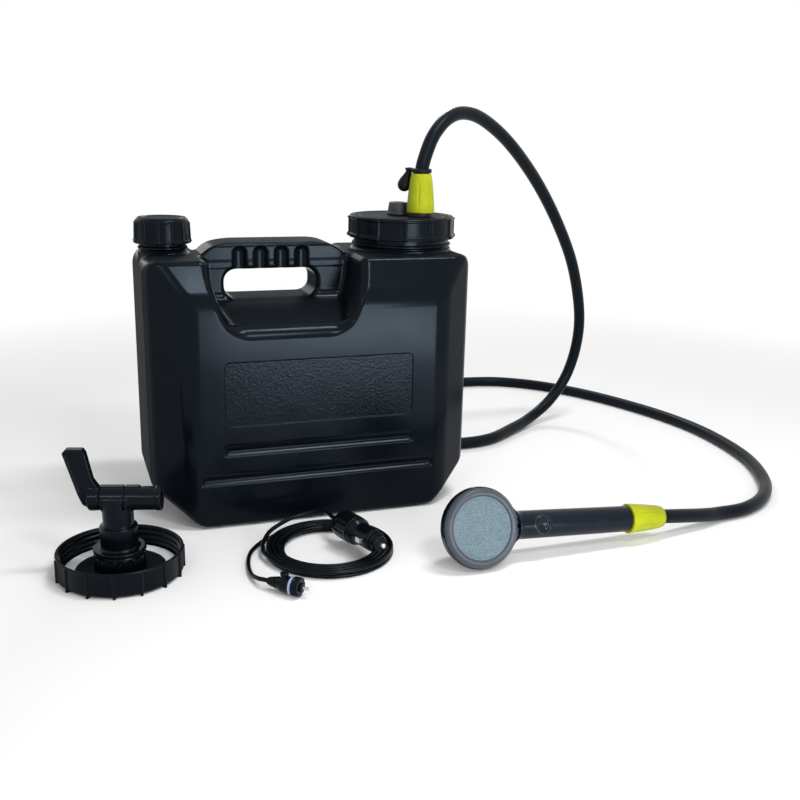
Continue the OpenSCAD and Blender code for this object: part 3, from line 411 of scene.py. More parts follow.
def within(tree, width, height, middle):
    """A factor of 1 inside an upright box of the piece's own place, sizes in mm, and 0 outside."""
    parts = add_node(tree, "ShaderNodeSeparateXYZ", {}, Vector=coordinate(tree))
    across = worked(tree, "COMPARE", parts.outputs["X"], 0.0, width / 2 * MM)
    upright = worked(tree, "COMPARE", parts.outputs["Z"], middle * MM, height / 2 * MM)
    return worked(tree, "MULTIPLY", across, upright)


# Where worn edges start and end by how sharp they are, and matte sides by how far they face up or to an end
WORN_EDGE = (0.52, 0.6)
FACING_UP = (0.88, 0.98)
FACING_END = (0.8, 0.97)


def moulded(name, colour, roughness, grain, depth, specular, cloudy=0.12, wear=0.0, tint=(1, 1, 1),
            top=None, panel=None):
    """Moulded plastic or rubber: fine grain, cloudy gloss, faint colour change, and paler worn edges.

    A top is the roughness of what faces up or to an end, and a panel is a box with a coarser grain.
    """
    material, tree, principled = shader(name, colour, roughness, specular=specular, tint=tint)
    cloud = noise(tree, 28, 4)
    fine = noise(tree, grain, 2)
    darker, lighter = [c * 0.8 for c in colour], [c * 1.25 for c in colour]
    shade = mixed(tree, spread(tree, cloud, 0, 1), darker, lighter)
    if wear:
        edge = add_node(tree, "ShaderNodeNewGeometry", {}).outputs["Pointiness"]
        worn = [c * 2.5 + 0.01 for c in colour]
        shade = mixed(tree, spread(tree, edge, 0, wear, *WORN_EDGE), shade, worn)
    tree.links.new(shade, principled.inputs["Base Color"])
    rough = spread(tree, cloud, roughness - cloudy / 2, roughness + cloudy / 2)
    if top:
        parts = add_node(tree, "ShaderNodeSeparateXYZ", {}, Vector=coordinate(tree, "Normal"))
        aside = worked(tree, "ABSOLUTE", parts.outputs["X"], 0.0)
        endward = spread(tree, aside, 0, 1, *FACING_END)
        upward = spread(tree, parts.outputs["Z"], 0, 1, *FACING_UP)
        matte = worked(tree, "MAXIMUM", endward, upward)
        rough = worked(tree, "MULTIPLY_ADD", matte, top - roughness, rough)
    tree.links.new(rough, principled.inputs["Roughness"])
    if panel:
        coarse = worked(tree, "MULTIPLY", noise(tree, grain / 1.6, 1), within(tree, *panel))
        fine = worked(tree, "MULTIPLY_ADD", coarse, 6.0, fine)
    bumped(tree, principled, fine, depth)
    return material


def metal(name, colour, roughness):
    """Bright metal with fine drawn lines."""
    material, tree, principled = shader(name, colour, roughness, metallic=1.0)
    lines = noise(tree, 700, 3, (1, 1, 8))
    tint = mixed(tree, spread(tree, lines, 0, 1), [c * 0.85 for c in colour], colour)
    tree.links.new(tint, principled.inputs["Base Color"])
    tree.links.new(spread(tree, lines, roughness * 0.7, roughness * 1.4), principled.inputs["Roughness"])
    bumped(tree, principled, lines, 0.00005, 0.2)
    return material


def speckled(name):
    """Pale face plate with a fine speckle."""
    material, tree, principled = shader(name, (0.2, 0.28, 0.32), 0.5, specular=0.3)
    speck = noise(tree, 900, 2)
    cloud = noise(tree, 60, 3)
    fine = mixed(tree, spread(tree, speck, 0, 1, 0.35, 0.65), (0.055, 0.09, 0.11), (0.125, 0.185, 0.215))
    patch = mixed(tree, spread(tree, cloud, 0, 1), (0.7, 0.75, 0.75), (1, 1, 1))
    tree.links.new(mixed(tree, 0.35, fine, patch, "MULTIPLY"), principled.inputs["Base Color"])
    tree.links.new(spread(tree, speck, 0.42, 0.6), principled.inputs["Roughness"])
    bumped(tree, principled, speck, 0.0002, 0.5)
    return material


# Plastic and rubber: colour, roughness, features a metre of the grain, its depth in metres, specular level
MOULDED = {
    "carrier_plastic": ((0.002, 0.0032, 0.005), 0.19, 800, 0.00006, 0.11),
    "lid_plastic": ((0.002, 0.003, 0.0045), 0.22, 1300, 0.00003, 0.11),
    "tap_plastic": ((0.002, 0.0028, 0.004), 0.2, 900, 0.00001, 0.13),
    "grey_plastic": ((0.03, 0.033, 0.036), 0.42, 1200, 0.00006, 0.3),
    "yellow_plastic": ((0.31, 0.345, 0.005), 0.38, 900, 0.00003, 0.2),
    "handset_plastic": ((0.003, 0.0045, 0.007), 0.2, 1200, 0.00003, 0.22),
    "bezel_plastic": ((0.045, 0.052, 0.068), 0.36, 1200, 0.00004, 0.25),
    "pump_plastic": ((0.012, 0.013, 0.015), 0.45, 900, 0.00006, 0.3),
    "hose_rubber": ((0.003, 0.0045, 0.006), 0.36, 2200, 0.00002, 0.1),
    "black_rubber": ((0.004, 0.0045, 0.005), 0.5, 1200, 0.00006, 0.12),
    "white_rubber": ((0.7, 0.74, 0.75), 0.5, 1200, 0.00004, 0.3),
    "lead_sheath": ((0.002, 0.003, 0.004), 0.24, 1500, 0.00002, 0.12),
    "pale_plastic": ((0.24, 0.3, 0.45), 0.35, 900, 0.00003, 0.3),
    "ceramic": ((0.6, 0.56, 0.48), 0.5, 700, 0.00004, 0.5),
}

# What else some of them have
BLUISH = (0.66, 0.82, 1)
FURTHER = {
    "carrier_plastic": {"cloudy": 0.06, "wear": 0.2, "tint": BLUISH, "top": 0.75,
                        "panel": (*PANEL, PANEL_Z)},
    "lid_plastic": {"cloudy": 0.08, "wear": 0.15, "tint": BLUISH, "top": 0.75},
    "tap_plastic": {"cloudy": 0.06, "wear": 0.1, "tint": BLUISH},
    "yellow_plastic": {"cloudy": 0.08},
    "handset_plastic": {"tint": BLUISH},
    "hose_rubber": {"tint": BLUISH},
    "lead_sheath": {"tint": BLUISH},
}

# Metal: colour, roughness
METALS = {
    "steel": ((0.62, 0.63, 0.64), 0.25),
    "brass": ((0.6, 0.46, 0.2), 0.3),
    "copper": ((0.62, 0.32, 0.17), 0.35),
}

MATERIALS = {name: moulded(name, *values, **FURTHER.get(name, {})) for name, values in MOULDED.items()}
MATERIALS |= {name: metal(name, *values) for name, values in METALS.items()}
MATERIALS["spray_face"] = speckled("spray_face")


def dress(obj, body, slot, *nodes):
    """Gives a piece its material and slot, its body, and the nodes that it stands for."""
    obj.data.materials.append(MATERIALS[slot])
    if body:
        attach(obj, body)
    if nodes:
        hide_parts(*nodes)
    return obj


# Carrier

def can_outside(x, y, z, inset):
    """Field of the can without its scoop: plan, end and side outlines cut together."""
    hw, hd = CAN_W / 2 - inset, CAN_D / 2 - inset
    ax, ay = np.abs(x), np.abs(y)
    low, high = inset, CAN_TOP - inset
    plan = cut(ax - hw, line(ax, ay, hw, hd - CORNER[1], hw - CORNER[0], hd), 7)
    plan = cut(plan, ay - hd, 6)
    end = cut(line(ax, z, hw - FOOT[0], low, hw, FOOT[1]), low - z, 6)
    end = cut(end, line(ax, z, hw, high - CROWN, hw - CROWN, high), 5)
    side = cut(line(ay, z, hd, high - SLOPE[1], hd - SLOPE[0], high), z - high, 5)
    side = cut(side, low - z, 4)
    return cut(cut(plan, end, 5), side, 5)


def scoop(x, y, z, handle=True):
    """Field of the hand scoop, in front of and behind the handle or right across it."""
    ay = np.abs(y)
    x0, x1 = SCOOP_X
    run, rise = SCOOP_KNEE
    ends = cut(x0 - x, x - x1, 4)
    ends = cut(ends, line(x, z, x0, SCOOP_LIP + rise, x0 + run, SCOOP_LIP), 16)
    ends = cut(ends, line(x, z, x1 - run, SCOOP_LIP, x1, SCOOP_LIP + rise), 16)
    fall = (LEDGE_Z - SCOOP_LIP) / (CAN_D / 2 - HANDLE_D / 2)
    floor = (LEDGE_Z - fall * np.maximum(ay - HANDLE_D / 2, 0) - z) / math.hypot(1, fall)
    if handle:
        floor = cut(floor, HANDLE_D / 2 - ay, 7)
    return cut(ends, floor, 7)


def grip(x, y, z):
    """Field of the grip bar across the scoop."""
    (x0, x1), root = SCOOP_X, CAN_TOP - 6
    raised, half, bevel = 2, HANDLE_D / 2, 4
    top = GRIP_Z[1] + raised
    along = z - top
    for side in ((x0 + 18, top, x0, top - 8), (x0, top - 8, x0 - 8, root),
                 (x1 - 6, top - 9, x1 - 24, top), (x1 + 6, root, x1 - 6, top - 9)):
        along = cut(along, line(x, z, *side), 8)
    ay = np.abs(y)
    across = cut(ay - half, line(ay, z, half, top - bevel, half - bevel, top), 2)
    across = cut(across, z - top, 3)
    return cut(cut(along, across, 3), root - 8 - z, 1)


def finger_channels(x, y, z):
    """Field of the upright finger channels down both faces of the grip, each with an arched top."""
    r, depth, pitch, count = 8, 4, 21, 4
    arch = GRIP_Z[1] - 10
    middle = sum(FINGER_X) / 2
    along = (x - middle + pitch * count / 2) % pitch - pitch / 2
    out = np.abs(y) - (HANDLE_D / 2 + r - depth)
    field = np.sqrt(along ** 2 + out ** 2 + np.maximum(z - arch, 0) ** 2) - r
    field = np.maximum(field, np.abs(x - middle) - pitch * count / 2)
    return np.maximum(field, GRIP_Z[0] - 5 - z)


def finger_opening(x, z):
    """Field of the opening under the grip."""
    across = np.abs(x - sum(FINGER_X) / 2) - (FINGER_X[1] - FINGER_X[0]) / 2
    low, high = LEDGE_Z, GRIP_Z[0] - 1.5
    return cut(across, np.abs(z - (high + low) / 2) - (high - low) / 2, 12)


def pressed_groove(x, y, z, height, length):
    """Field of one pressed groove: a long upper slope, a short lower lip and sloped ends."""
    face, ay = CAN_D / 2, np.abs(y)
    back = face - GROOVE_DEEP
    lower = line(ay, z, back, height + 1.5, face, height - 2)
    upper = line(ay, z, face, height + 9, back, height + 3)
    field = cut(cut(lower, upper, 1), back - ay, 1)
    return cut(field, np.abs(x) - length / 2 - 3 + face - ay, 2)


def thread(angle, z):
    """How far a point at a height and angle is from the ridge of the thread, from 0 to half a pitch."""
    return np.abs((z - PITCH * angle / (2 * math.pi)) % PITCH - PITCH / 2)


def neck(x, y, z, r):
    """Field of a neck with its foot, bead and thread, about the axis x = y = 0."""
    away = np.hypot(x, y)
    pipe = cut(away - r, z - NECK_TOP, 0.8)
    ridge = cut(away - r - 1.6, thread(np.arctan2(y, x), z) - 0.8, 0.4)
    ridge = cut(ridge, np.abs(z - NECK_TOP + 10) - 6.5, 0.5)
    bead = cut(away - r - 2.4, np.abs(z - CAN_TOP - 6) - 1.5, 1)
    foot = cut(away - r - 2.4, z - CAN_TOP - 2.5, 1.2)
    whole = np.minimum(np.minimum(join(pipe, bead, 0.6), foot), ridge)
    return np.maximum(whole, CAN_TOP - 8 - z)


def carrier_field(x, y, z):
    """Field of the carrier's wall, with all that is pressed into it."""
    body = cut(can_outside(x, y, z, 0), -scoop(x, y, z), 10)
    body = join(body, grip(x, y, z), 1.5)
    body = cut(body, -finger_opening(x, z), 5)
    body = cut(body, -finger_channels(x, y, z), 1.2)
    edge = cut(np.abs(x) - PANEL[0] / 2, np.abs(z - PANEL_Z) - PANEL[1] / 2, 6)
    body = cut(body, -cut(edge, y + CAN_D / 2 - PANEL_DEEP, 0.2), 0.4)
    inside = cut(can_outside(x, y, z, WALL), WALL - scoop(x, y, z, False), 5)
    for height, length in GROOVES:
        groove = pressed_groove(x, y, z, height, length)
        body = cut(body, -groove, 1.2)
        inside = cut(inside, WALL - groove, 2)
    for place, r in ((LID_X, LID_NECK_R), (CAP_X, CAP_NECK_R)):
        body = join(body, neck(x - place, y, z, r), 3)
        inside = np.minimum(inside, np.maximum(np.hypot(x - place, y) - r + NECK_WALL, CAN_TOP - 12 - z))
    return np.maximum(body, -inside)


def build_carrier():
    """The blow-moulded can as one hollow shell."""
    step = 1.7
    w, d = CAN_W / 2 + 4, CAN_D / 2 + 4
    panel_x, panel_z = PANEL[0] / 2, PANEL[1] / 2
    xs = stops(-w, w, step, (-panel_x, 2, 0.5), (panel_x, 2, 0.5))
    ys = stops(-d, d, step, (2 - CAN_D / 2, 5, 0.6))
    zs = stops(-4, NECK_TOP + 4, step, (PANEL_Z - panel_z, 2, 0.5), (PANEL_Z + panel_z, 2, 0.5),
               (GROOVES[0][0] + 4, 8, 0.8), (GROOVES[1][0] + 4, 8, 0.8), (CAN_TOP + 18, 19, 0.8))
    dress(surface("carrier_shell", carrier_field, xs, ys, zs), "carrier", "carrier_plastic", "carrier_body")


# Lids and caps

def build_pump_lid():
    """Wide lid with sunk windows between its ribs."""
    r, h, bore = LID_R, LID_H, LID_BORE
    outline = [
        (0, h), (44, h), (44.8, h - 0.7), (50.4, h - 0.7), (51.2, h), (r - 2.3, h), (r - 0.9, h - 1.4),
        (r - 0.9, h - 3.4), (r - 1.7, h - 4), (r - 1.6, 4.6), (r - 0.4, 3.9), (r - 0.1, 1), (r - 0.8, 0),
        (bore, 0), (bore, h - LID_PLATE), (0, h - LID_PLATE),
    ]
    outline = filled(rounded(outline, 0.8), 3)
    at = Matrix.Translation((LID_X, 0, LID_LOW[2]))
    swell = ribs(count=12, width=2.4, height=1.5, low=0.6, high=h - 1.5)
    dress(lathe("wide_lid", outline, 480, at, swell), "pump_lid", "lid_plastic", "pump_lid")


def build_fill_cap():
    """Small ribbed cap with a bevelled top."""
    r, h, bore = CAP_R, CAP_H, CAP_BORE
    outline = [
        (0, h - 0.5), (19, h - 0.5), (19.8, h), (r - 5, h), (r - 2.6, h - 2.4), (r - 1.9, h - 4.6),
        (r - 1.2, 3.4), (r - 0.3, 2.8), (r - 0.1, 0.6), (r - 0.7, 0), (bore, 0), (bore, h - LID_PLATE),
        (0, h - LID_PLATE),
    ]
    outline = filled(rounded(outline, 0.7), 3)
    at = Matrix.Translation((CAP_X, 0, CAP_LOW[2]))
    swell = ribs(count=12, width=1.8, height=1.1, low=1, high=h - 4.2, soft=0.3)
    dress(lathe("small_cap", outline, 360, at, swell), "fill_cap", "lid_plastic", "fill_cap")


def build_tap_lid():
    """Spare wide lid, open side up, with its inner thread showing."""
    r, h, bore, hole = LID_R, LID_H, LID_BORE, TAP_HOLE_R
    outline = [
        (hole, 0), (r - 4.4, 0), (r - 1.5, 2.6), (r - 1.3, 3.4), (r - 1.3, h - 1.6), (r - 0.9, h - 1.2),
        (r - 1, h - 0.5), (r - 1.7, h), (bore + 0.7, h), (bore, h - 0.7), (bore, LID_PLATE),
        (hole, LID_PLATE), (hole, 0),
    ]
    outline = filled(rounded(outline, 0.6), 0.6)
    outer = ribs(count=15, width=2, height=1, low=-1, high=h - 1.6, soft=0.25)
    ridge_deep = 1.6

    def swell(angle, radius, z):
        """Ribs with a small foot outside, thread ridges inside."""
        is_inner = (np.abs(radius - bore) < 0.3) & (z >= LID_PLATE - 0.1)
        is_outer = (radius > r - 4.5) & ((z < LID_PLATE - 0.1) | (radius > bore + 1))
        ridge = np.clip((1.3 - thread(-angle, z)) / 0.6, 0, 1)
        ends = np.clip(z - LID_PLATE - 2, 0, 1) * np.clip(h - 1.5 - z, 0, 1)
        inner = -ridge_deep * ridge * ends
        proud = (r - 0.05 - radius) * outer(angle, radius, z)
        return np.where(is_outer, proud, np.where(is_inner, inner, 0))

    dress(lathe("spare_lid", outline, 450, TAP, swell), "carrier", "lid_plastic", "tap_lid")


# Collars, socket and dust plug

def collar(name, at, body, replaced):
    """Yellow collar with shallow flutes and a dark gap at the hose."""
    h, r, tip, bore = COLLAR_H, COLLAR_R, COLLAR_TIP_R, HOSE_D / 2 + 0.5
    outline = [
        (9.5, 0), (r - 0.4, 0), (r, 0.6), (r - 0.5, 9), (r - 1.5, 20), (r - 2.9, 33), (tip + 0.1, h - 0.8),
        (tip - 0.6, h), (bore, h), (bore, 9.9), (9.5, 9.9), (9.5, 0),
    ]
    outline = filled(rounded(outline, 1.2), 1.5)
    swell = ribs(count=6, width=1.4, height=-0.7, low=7, high=30, soft=0.7, shift=0)
    dress(lathe(name, outline, 180, at, swell), body, "yellow_plastic", replaced)


def build_collars():
    """The collar on the lid's outlet and the one on the hand shower."""
    collar("outlet_collar", Matrix.Translation((*OUTLET, COLLAR_LOW[2])), "lid_collar", "lid_collar")
    along_x = SHOWER @ turned((STEM_L + 0.4, 0, 0), 0, 90, 0)
    collar("shower_collar", along_x, "handset_collar", "handset_collar")


def build_socket():
    """Grey power socket with a rounded lip round its well."""
    r, h, well = SOCKET_R, SOCKET_H, 4.8
    base = SOCKET_HIGH[2] - h
    outline = [
        (0, 0), (r, 0), (r - 0.2, 1.6), (r - 0.9, 2.2), (r - 1.8, 9.5), (r - 2.4, h), (6.6, h),
        (6, h - 1.2), (well, h - 2.2), (well, 3), (0, 3),
    ]
    swell = ribs(count=6, width=2, height=0.45, low=2.4, high=9, soft=0.4, shift=0)
    at = Matrix.Translation((*SOCKET, base))
    obj = lathe("socket_boss", filled(rounded(outline, 0.7), 1.5), 120, at, swell)
    dress(obj, "pump_lid", "grey_plastic")
    stem_r, stem_h = 6, base - SOCKET_LOW[2] + 0.5
    stem = [(0, 0), (stem_r, 0), (stem_r, stem_h), (0, stem_h)]
    at = Matrix.Translation((*SOCKET, SOCKET_LOW[2]))
    dress(lathe("socket_stem", rounded(stem, 0.6), 64, at), "pump_lid", "grey_plastic")
    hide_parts("power_socket")


def build_dust_plug():
    """Rubber plug on a ring round the hose, hanging beside the collar."""
    inner, outer = HOSE_D / 2 + 0.9, HOSE_D / 2 + 3.5
    middle, thick = (inner + outer) / 2, (outer - inner) / 2
    level, neck_r, bulb_r = 2.2, 3, 7
    start, end = np.array((-14.2, 0, level)), np.array((-20, 0, -12.6))
    span = end - start

    def field(x, y, z):
        """Field of the ring, its strap and flange, and the bulb that hangs from them."""
        band = cut(np.abs(np.hypot(x, y) - middle) - thick, np.abs(z - level) - 2.1, 1)
        t = np.clip(((x - start[0]) * span[0] + (z - start[2]) * span[2]) / (span @ span), 0, 1)
        away = np.sqrt((x - start[0] - t * span[0]) ** 2 + y ** 2 + (z - start[2] - t * span[2]) ** 2)
        bulb = away - (neck_r + (bulb_r - neck_r) * t * t * (3 - 2 * t))
        flange = cut(np.hypot(x - start[0], y) - 4.6, np.abs(z - 3.6) - 1.2, 0.8)
        strap = cut(np.maximum(np.abs(x + 12) - 3, np.abs(y) - 2.4), np.abs(z - level) - 1.2, 0.6)
        return join(join(join(bulb, flange, 1), strap, 1.5), band, 0.8)

    at = turned((*OUTLET, COLLAR_HIGH[2] + 0.4), 0, 0, -50)
    xs, ys, zs = stops(-29, 13, 0.5), stops(-13, 13, 0.5), stops(-22, 7, 0.5)
    obj = surface("rubber_plug", field, xs, ys, zs, at)
    dress(obj, "dust_plug", "black_rubber", "dust_plug")


# Hand shower

def handset_field(x, y, z):
    """Field of the hand shower's body: shallow head, round handle, seat for the button."""
    t = -y
    q = np.hypot(x, z)
    back, root, seat_top = -9, 20, 13.1
    head = cut(q - HEAD_R, line(q, t, HEAD_R - 12, back, HEAD_R - 2, -2), 3)
    head = cut(head, back - t, 4)
    head = cut(head, t - FACE_Y, 0.8)
    radius = STEM_R[0] + (STEM_R[1] - STEM_R[0]) * (x - root) / (STEM_L - root)
    handle = cut(np.hypot(y, z) - radius, np.maximum(root - x, x - STEM_L), 0.8)
    seat = cut(np.hypot(x - BUTTON_X, z) - BUTTON_R - 2.4, np.maximum(t - seat_top, -t), 0.6)
    body = join(join(head, handle, 7), seat, 0.8)
    body = cut(body, -np.maximum(q - HEAD_R - 0.8, FACE_Y - t), 0.8)
    cup = np.maximum(q - HEAD_R + 4, 2 - t)
    bore = np.maximum(np.hypot(y, z) - 9, 26 - x)
    well = np.maximum(np.hypot(x - BUTTON_X, z) - BUTTON_R - 0.1, -t)
    return cut(body, -np.minimum(np.minimum(cup, bore), well), 0.4)


def build_handset():
    """Body, bezel, spray plate and button of the hand shower."""
    xs, ys, zs = stops(-40, STEM_L + 2, 0.9), stops(-16, 16, 0.8), stops(-40, 40, 0.9)
    body = surface("shower_body", handset_field, xs, ys, zs, SHOWER)
    dress(body, "carrier", "handset_plastic", "handset_body")
    front = FACING @ Matrix.Translation((0, 0, FACE_Y))
    outline = [
        (PLATE_R, 0), (HEAD_R - 0.9, 0), (HEAD_R - 0.9, 0.8), (HEAD_R - 2.6, 3.2), (HEAD_R - 5, 4.4),
        (PLATE_R - 0.2, 4.1), (PLATE_R - 1.5, 3.2), (PLATE_R - 1.5, 2.3), (PLATE_R, 2.3), (PLATE_R, 0),
    ]
    bezel = lathe("shower_bezel", rounded(outline, 1.4, 6), 200, front)
    dress(bezel, "carrier", "bezel_plastic", "head_bezel")
    dress(spray_plate(front), "carrier", "spray_face", "spray_plate")
    top, low, stem_r, hollow, steps = 12.9, 3.6, 4.1, 1.8, 8
    dish = [
        (BUTTON_R * i / steps * 0.9, top - hollow + hollow * (i / steps) ** 2) for i in range(steps + 1)
    ]
    side = [(BUTTON_R - 0.2, top - 0.1), (BUTTON_R, top - 0.5), (BUTTON_R, top - 5)]
    outline = dish + side + [(stem_r, top - 5), (stem_r, low), (0, low)]
    at = FACING @ Matrix.Translation((BUTTON_X, 0, 0))
    dress(lathe("shower_button", outline, 72, at), "pause_button", "handset_plastic", "pause_button")


def spray_plate(at):
    """Round plate with a close pattern of small spray holes."""
    step, thick, pitch = 0.42, 2.2, 3.2
    hole_r, hole_deep = 0.5, 0.6
    row = pitch * math.sqrt(3) / 2
    radii = np.arange(0.01, PLATE_R - 0.1, step)
    line_r = PLATE_R - 3.6
    outline = [(r, thick - 0.4 * max(0, 1 - abs(r - line_r) / 0.7)) for r in radii]
    outline += [(PLATE_R - 0.3, thick), (PLATE_R - 0.1, thick - 0.3), (PLATE_R - 0.1, 0), (0, 0)]
    obj = lathe("shower_plate", outline, 300, at)
    placed = Matrix.Scale(MM, 4) @ at
    inverse = placed.inverted()
    for vertex in obj.data.vertices:
        place = inverse @ vertex.co
        if place.z < thick - 0.01 or place.xy.length > PLATE_R - 4.6:
            continue
        odd = round(place.y / row) % 2
        dx = (place.x - odd * pitch / 2 + pitch / 2) % pitch - pitch / 2
        dy = place.y - round(place.y / row) * row
        sink = hole_deep * max(0, 1 - (dx * dx + dy * dy) / (hole_r * hole_r * 1.6)) ** 0.5
        vertex.co = placed @ Vector((place.x, place.y, place.z - sink))
    return obj


# Tap on the spare lid

def tap_field(x, y, z):
    """Field of the tap's body: flange, stepped stem and barrel with its spout."""
    away = np.hypot(x, y)
    round_barrel = np.hypot(y, z - BARREL_Z)
    stem = cut(away - 12, np.maximum(0.4 - z, z - TAP_FLANGE_Z - 1), 0.3)
    flange = cut(away - TAP_NUT_R, np.abs(z - TAP_FLANGE_Z - 2) - 2, 1.2)
    lower = cut(away - 16.5, np.maximum(TAP_FLANGE_Z - z, z - TAP_STEP_Z), 1.4)
    upper = np.maximum(away - 13.5, np.maximum(TAP_FLANGE_Z - z, z - BARREL_Z))
    barrel = cut(round_barrel - BARREL_R, np.maximum(BARREL_X[0] - x, x - BARREL_X[1]), 0.9)
    lip = cut(round_barrel - BARREL_R - 0.5, np.abs(x - BARREL_X[1] + 2.4) - 2.4, 0.6)
    rail = cut(np.abs(y) - 3.5, np.maximum(z - BARREL_Z - BARREL_R - 1.2, np.abs(x - 3) - 17), 0.8)
    body = join(join(flange, lower, 2), upper, 1.6)
    body = join(body, np.minimum(join(barrel, np.maximum(rail, BARREL_Z - z), 0.8), lip), 3)
    seam = cut(np.abs(x - 7) - 0.45, BARREL_R - 0.5 - round_barrel, 0.1)
    body = cut(np.minimum(body, stem), -np.maximum(seam, BARREL_Z - 8 - z), 0.3)
    bore = np.minimum(round_barrel - 7.55, np.maximum(away - 8, z - BARREL_Z))
    return cut(body, -bore, 0.5)


def lever_field(x, y, z):
    """Field of the tap's lever with its hub and hollow plug; z is from the barrel's axis."""
    soft = 1.5
    blade = [
        (-42.5, 41.5), (-40.3, 44), (-27.7, 44), (-26.1, 41.5), (-21.1, 17.4), (-15.9, 9.2), (-15.9, -7.5),
        (-20.6, -8.4), (-28.1, -4), (-31.4, 4),
    ]
    shape = outline_field(blade, x, z) - soft
    away = np.hypot(y, z)
    lever = cut(shape, np.abs(y) - 4.6, soft)
    lever = cut(lever, -cut(shape + 2.6, 3.9 - np.abs(y), 0.4), 0.4)
    hub = cut(away - BARREL_R, np.maximum(-24 - x, x - BARREL_X[0] + 0.4), 1)
    plug = cut(away - 7.5, np.maximum(-24 - x, x - 20), 0.4)
    plug = np.maximum(plug, -np.maximum(away - 4.9, -8 - x))
    return np.minimum(join(lever, hub, 2), plug)


def build_tap():
    """Body, nut, gasket and lever of the tap."""
    xs, ys = stops(-25, 41, 0.6), stops(-25, 25, 0.6)
    zs = stops(-2, BARREL_Z + 15, 0.6)
    dress(surface("tap_barrel", tap_field, xs, ys, zs, TAP), "carrier", "tap_plastic", "tap_body")
    xs, ys, zs = stops(-46, 22, 0.6), stops(-12, 12, 0.5), stops(-12, 47, 0.6)
    at = TAP @ Matrix.Translation((0, 0, BARREL_Z))
    dress(surface("tap_lever", lever_field, xs, ys, zs, at), "tap_plug", "tap_plastic", "tap_plug")
    low, high, r, bore = 4.5, TAP_FLANGE_Z, TAP_NUT_R, TAP_HOLE_R
    outline = [
        (bore, low), (r - 1.8, low), (r - 1.6, high - 2.6), (r - 2.4, high), (bore, high), (bore, low),
    ]
    swell = ribs(count=16, width=1.8, height=1.5, low=low - 1, high=high - 2.8, soft=0.5, shift=0)
    nut = lathe("tap_lock_nut", filled(rounded(outline, 0.7), 1.5), 320, TAP, swell)
    dress(nut, "carrier", "tap_plastic", "tap_nut")
    outer, thick = LID_BORE - 2.5, 1.6
    inner = outer - 10.4
    outline = [(inner, 0), (outer, 0), (outer, thick), (inner, thick), (inner, 0)]
    at = TAP @ Matrix.Translation((0, 0, LID_PLATE))
    dress(lathe("white_gasket", rounded(outline, 0.5), 160, at), "carrier", "white_rubber", "tap_gasket")


# Cords: the routes repeat the part's own points

HOSE_FLOOR = HOSE_D / 2 + 0.2
HOSE_ROUTE = [
    (136, -15, 381), (156, -3, 398), (181, 12, 404), (212, 29, 397), (256, 53, 372), (308, 84, 329),
    (354, 110, 277), (391, 131, 221), (416, 149, 158), (421, 158, 110), (412, 164, 65), (388, 163, 31),
    (352, 151, 11.5), (312, 124, HOSE_FLOOR + 0.6), (268, 95, HOSE_FLOOR), (225, 88, HOSE_FLOOR),
    (178, 98, HOSE_FLOOR), (125, 130, HOSE_FLOOR), (92, 185, HOSE_FLOOR), (98, 250, HOSE_FLOOR),
    (165, 330, HOSE_FLOOR), (280, 368, HOSE_FLOOR), (376, 367, HOSE_FLOOR),
    (432, 341, HOSE_FLOOR), (477, 293, HOSE_FLOOR), (514, 226, HOSE_FLOOR), (546, 130, HOSE_FLOOR),
    (556, 40, HOSE_FLOOR), (543, -55, HOSE_FLOOR), (512, -127, HOSE_FLOOR), (475, -173, HOSE_FLOOR),
    (432, -198, HOSE_FLOOR), (391, -205, 8.5), (363, -213, 13),
]
TAIL_ROUTE = [
    (-73, -128, COIL_LOW), (-87, -148, COIL_LOW), (-94, -172, COIL_LOW),
    (-96, -196, 3.4), (-93.5, -212, 6.6),
]
STRAND_ROUTE = [
    (-76.4, -153, 6.9), (-73.3, -140.8, 8), (-62.2, -122.8, 11),
    (-40, -109, 15), (-17.5, -107.5, 19), (-7, -117, 22),
]


def build_hose():
    """The shower hose from the lid's collar to the hand shower's."""
    top = COLLAR_HIGH[2]
    start = [(*OUTLET, COLLAR_LOW[2] + 22), (*OUTLET, top), (OUTLET[0] + 4.5, OUTLET[1] + 3, top + 16)]
    end = [SHOWER @ Vector((STEM_L + x, 0, 0)) for x in (COLLAR_H + 6, COLLAR_H - 8, 20)]
    path = spline(start + HOSE_ROUTE + end, 8)
    hose = dress(tube("shower_hose", path, HOSE_D / 2, 28), None, "hose_rubber", "hose")
    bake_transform(hose)


def coil_point(u):
    """A point so many turns along the coil, which spirals in on the ground and out again on top."""
    half = COIL_TURNS / 2
    angle = math.radians(COIL_START - 360 * u)
    radius = COIL_R - COIL_STEP * (half - abs(u - half))
    height = COIL_LOW + COIL_RISE * max(0, min(1, (u - half) / 0.5 + 0.5))
    return np.array((COIL_AT[0] + radius * math.cos(angle), COIL_AT[1] + radius * math.sin(angle), height))


def build_lead():
    """The lead from the connector through its coil to the car plug."""
    per_turn, part_per_turn = 48, 24
    count = round(COIL_TURNS * part_per_turn) * per_turn // part_per_turn
    coil = [coil_point(i / per_turn) for i in range(count + 1)]
    entry, leave = coil[0] - coil[1], coil[-1] - coil[-2]
    before = coil[0] + 2 * LEAD_D * entry / np.linalg.norm(entry)
    after = coil[-1] + 2 * LEAD_D * leave / np.linalg.norm(leave)
    back = [CONNECTOR @ Vector((x, 0, 0)) for x in (0, -LEAD_D)]
    plug = [CAR_PLUG @ Vector((x, 0, 0)) for x in (-LEAD_D, 0)]
    tail = spline(back + TAIL_ROUTE[::-1] + [before, coil[0]], 8)
    strand = spline([coil[-1], after] + STRAND_ROUTE + plug, 8)
    path = np.array(tail[:-1] + coil + strand[1:])
    lead = tube("coiled_lead", path, LEAD_D / 2, 16)
    dress(lead, "carrier", "lead_sheath", "lead_coil", "lead_tail", "plug_strand")


# Car plug and connector

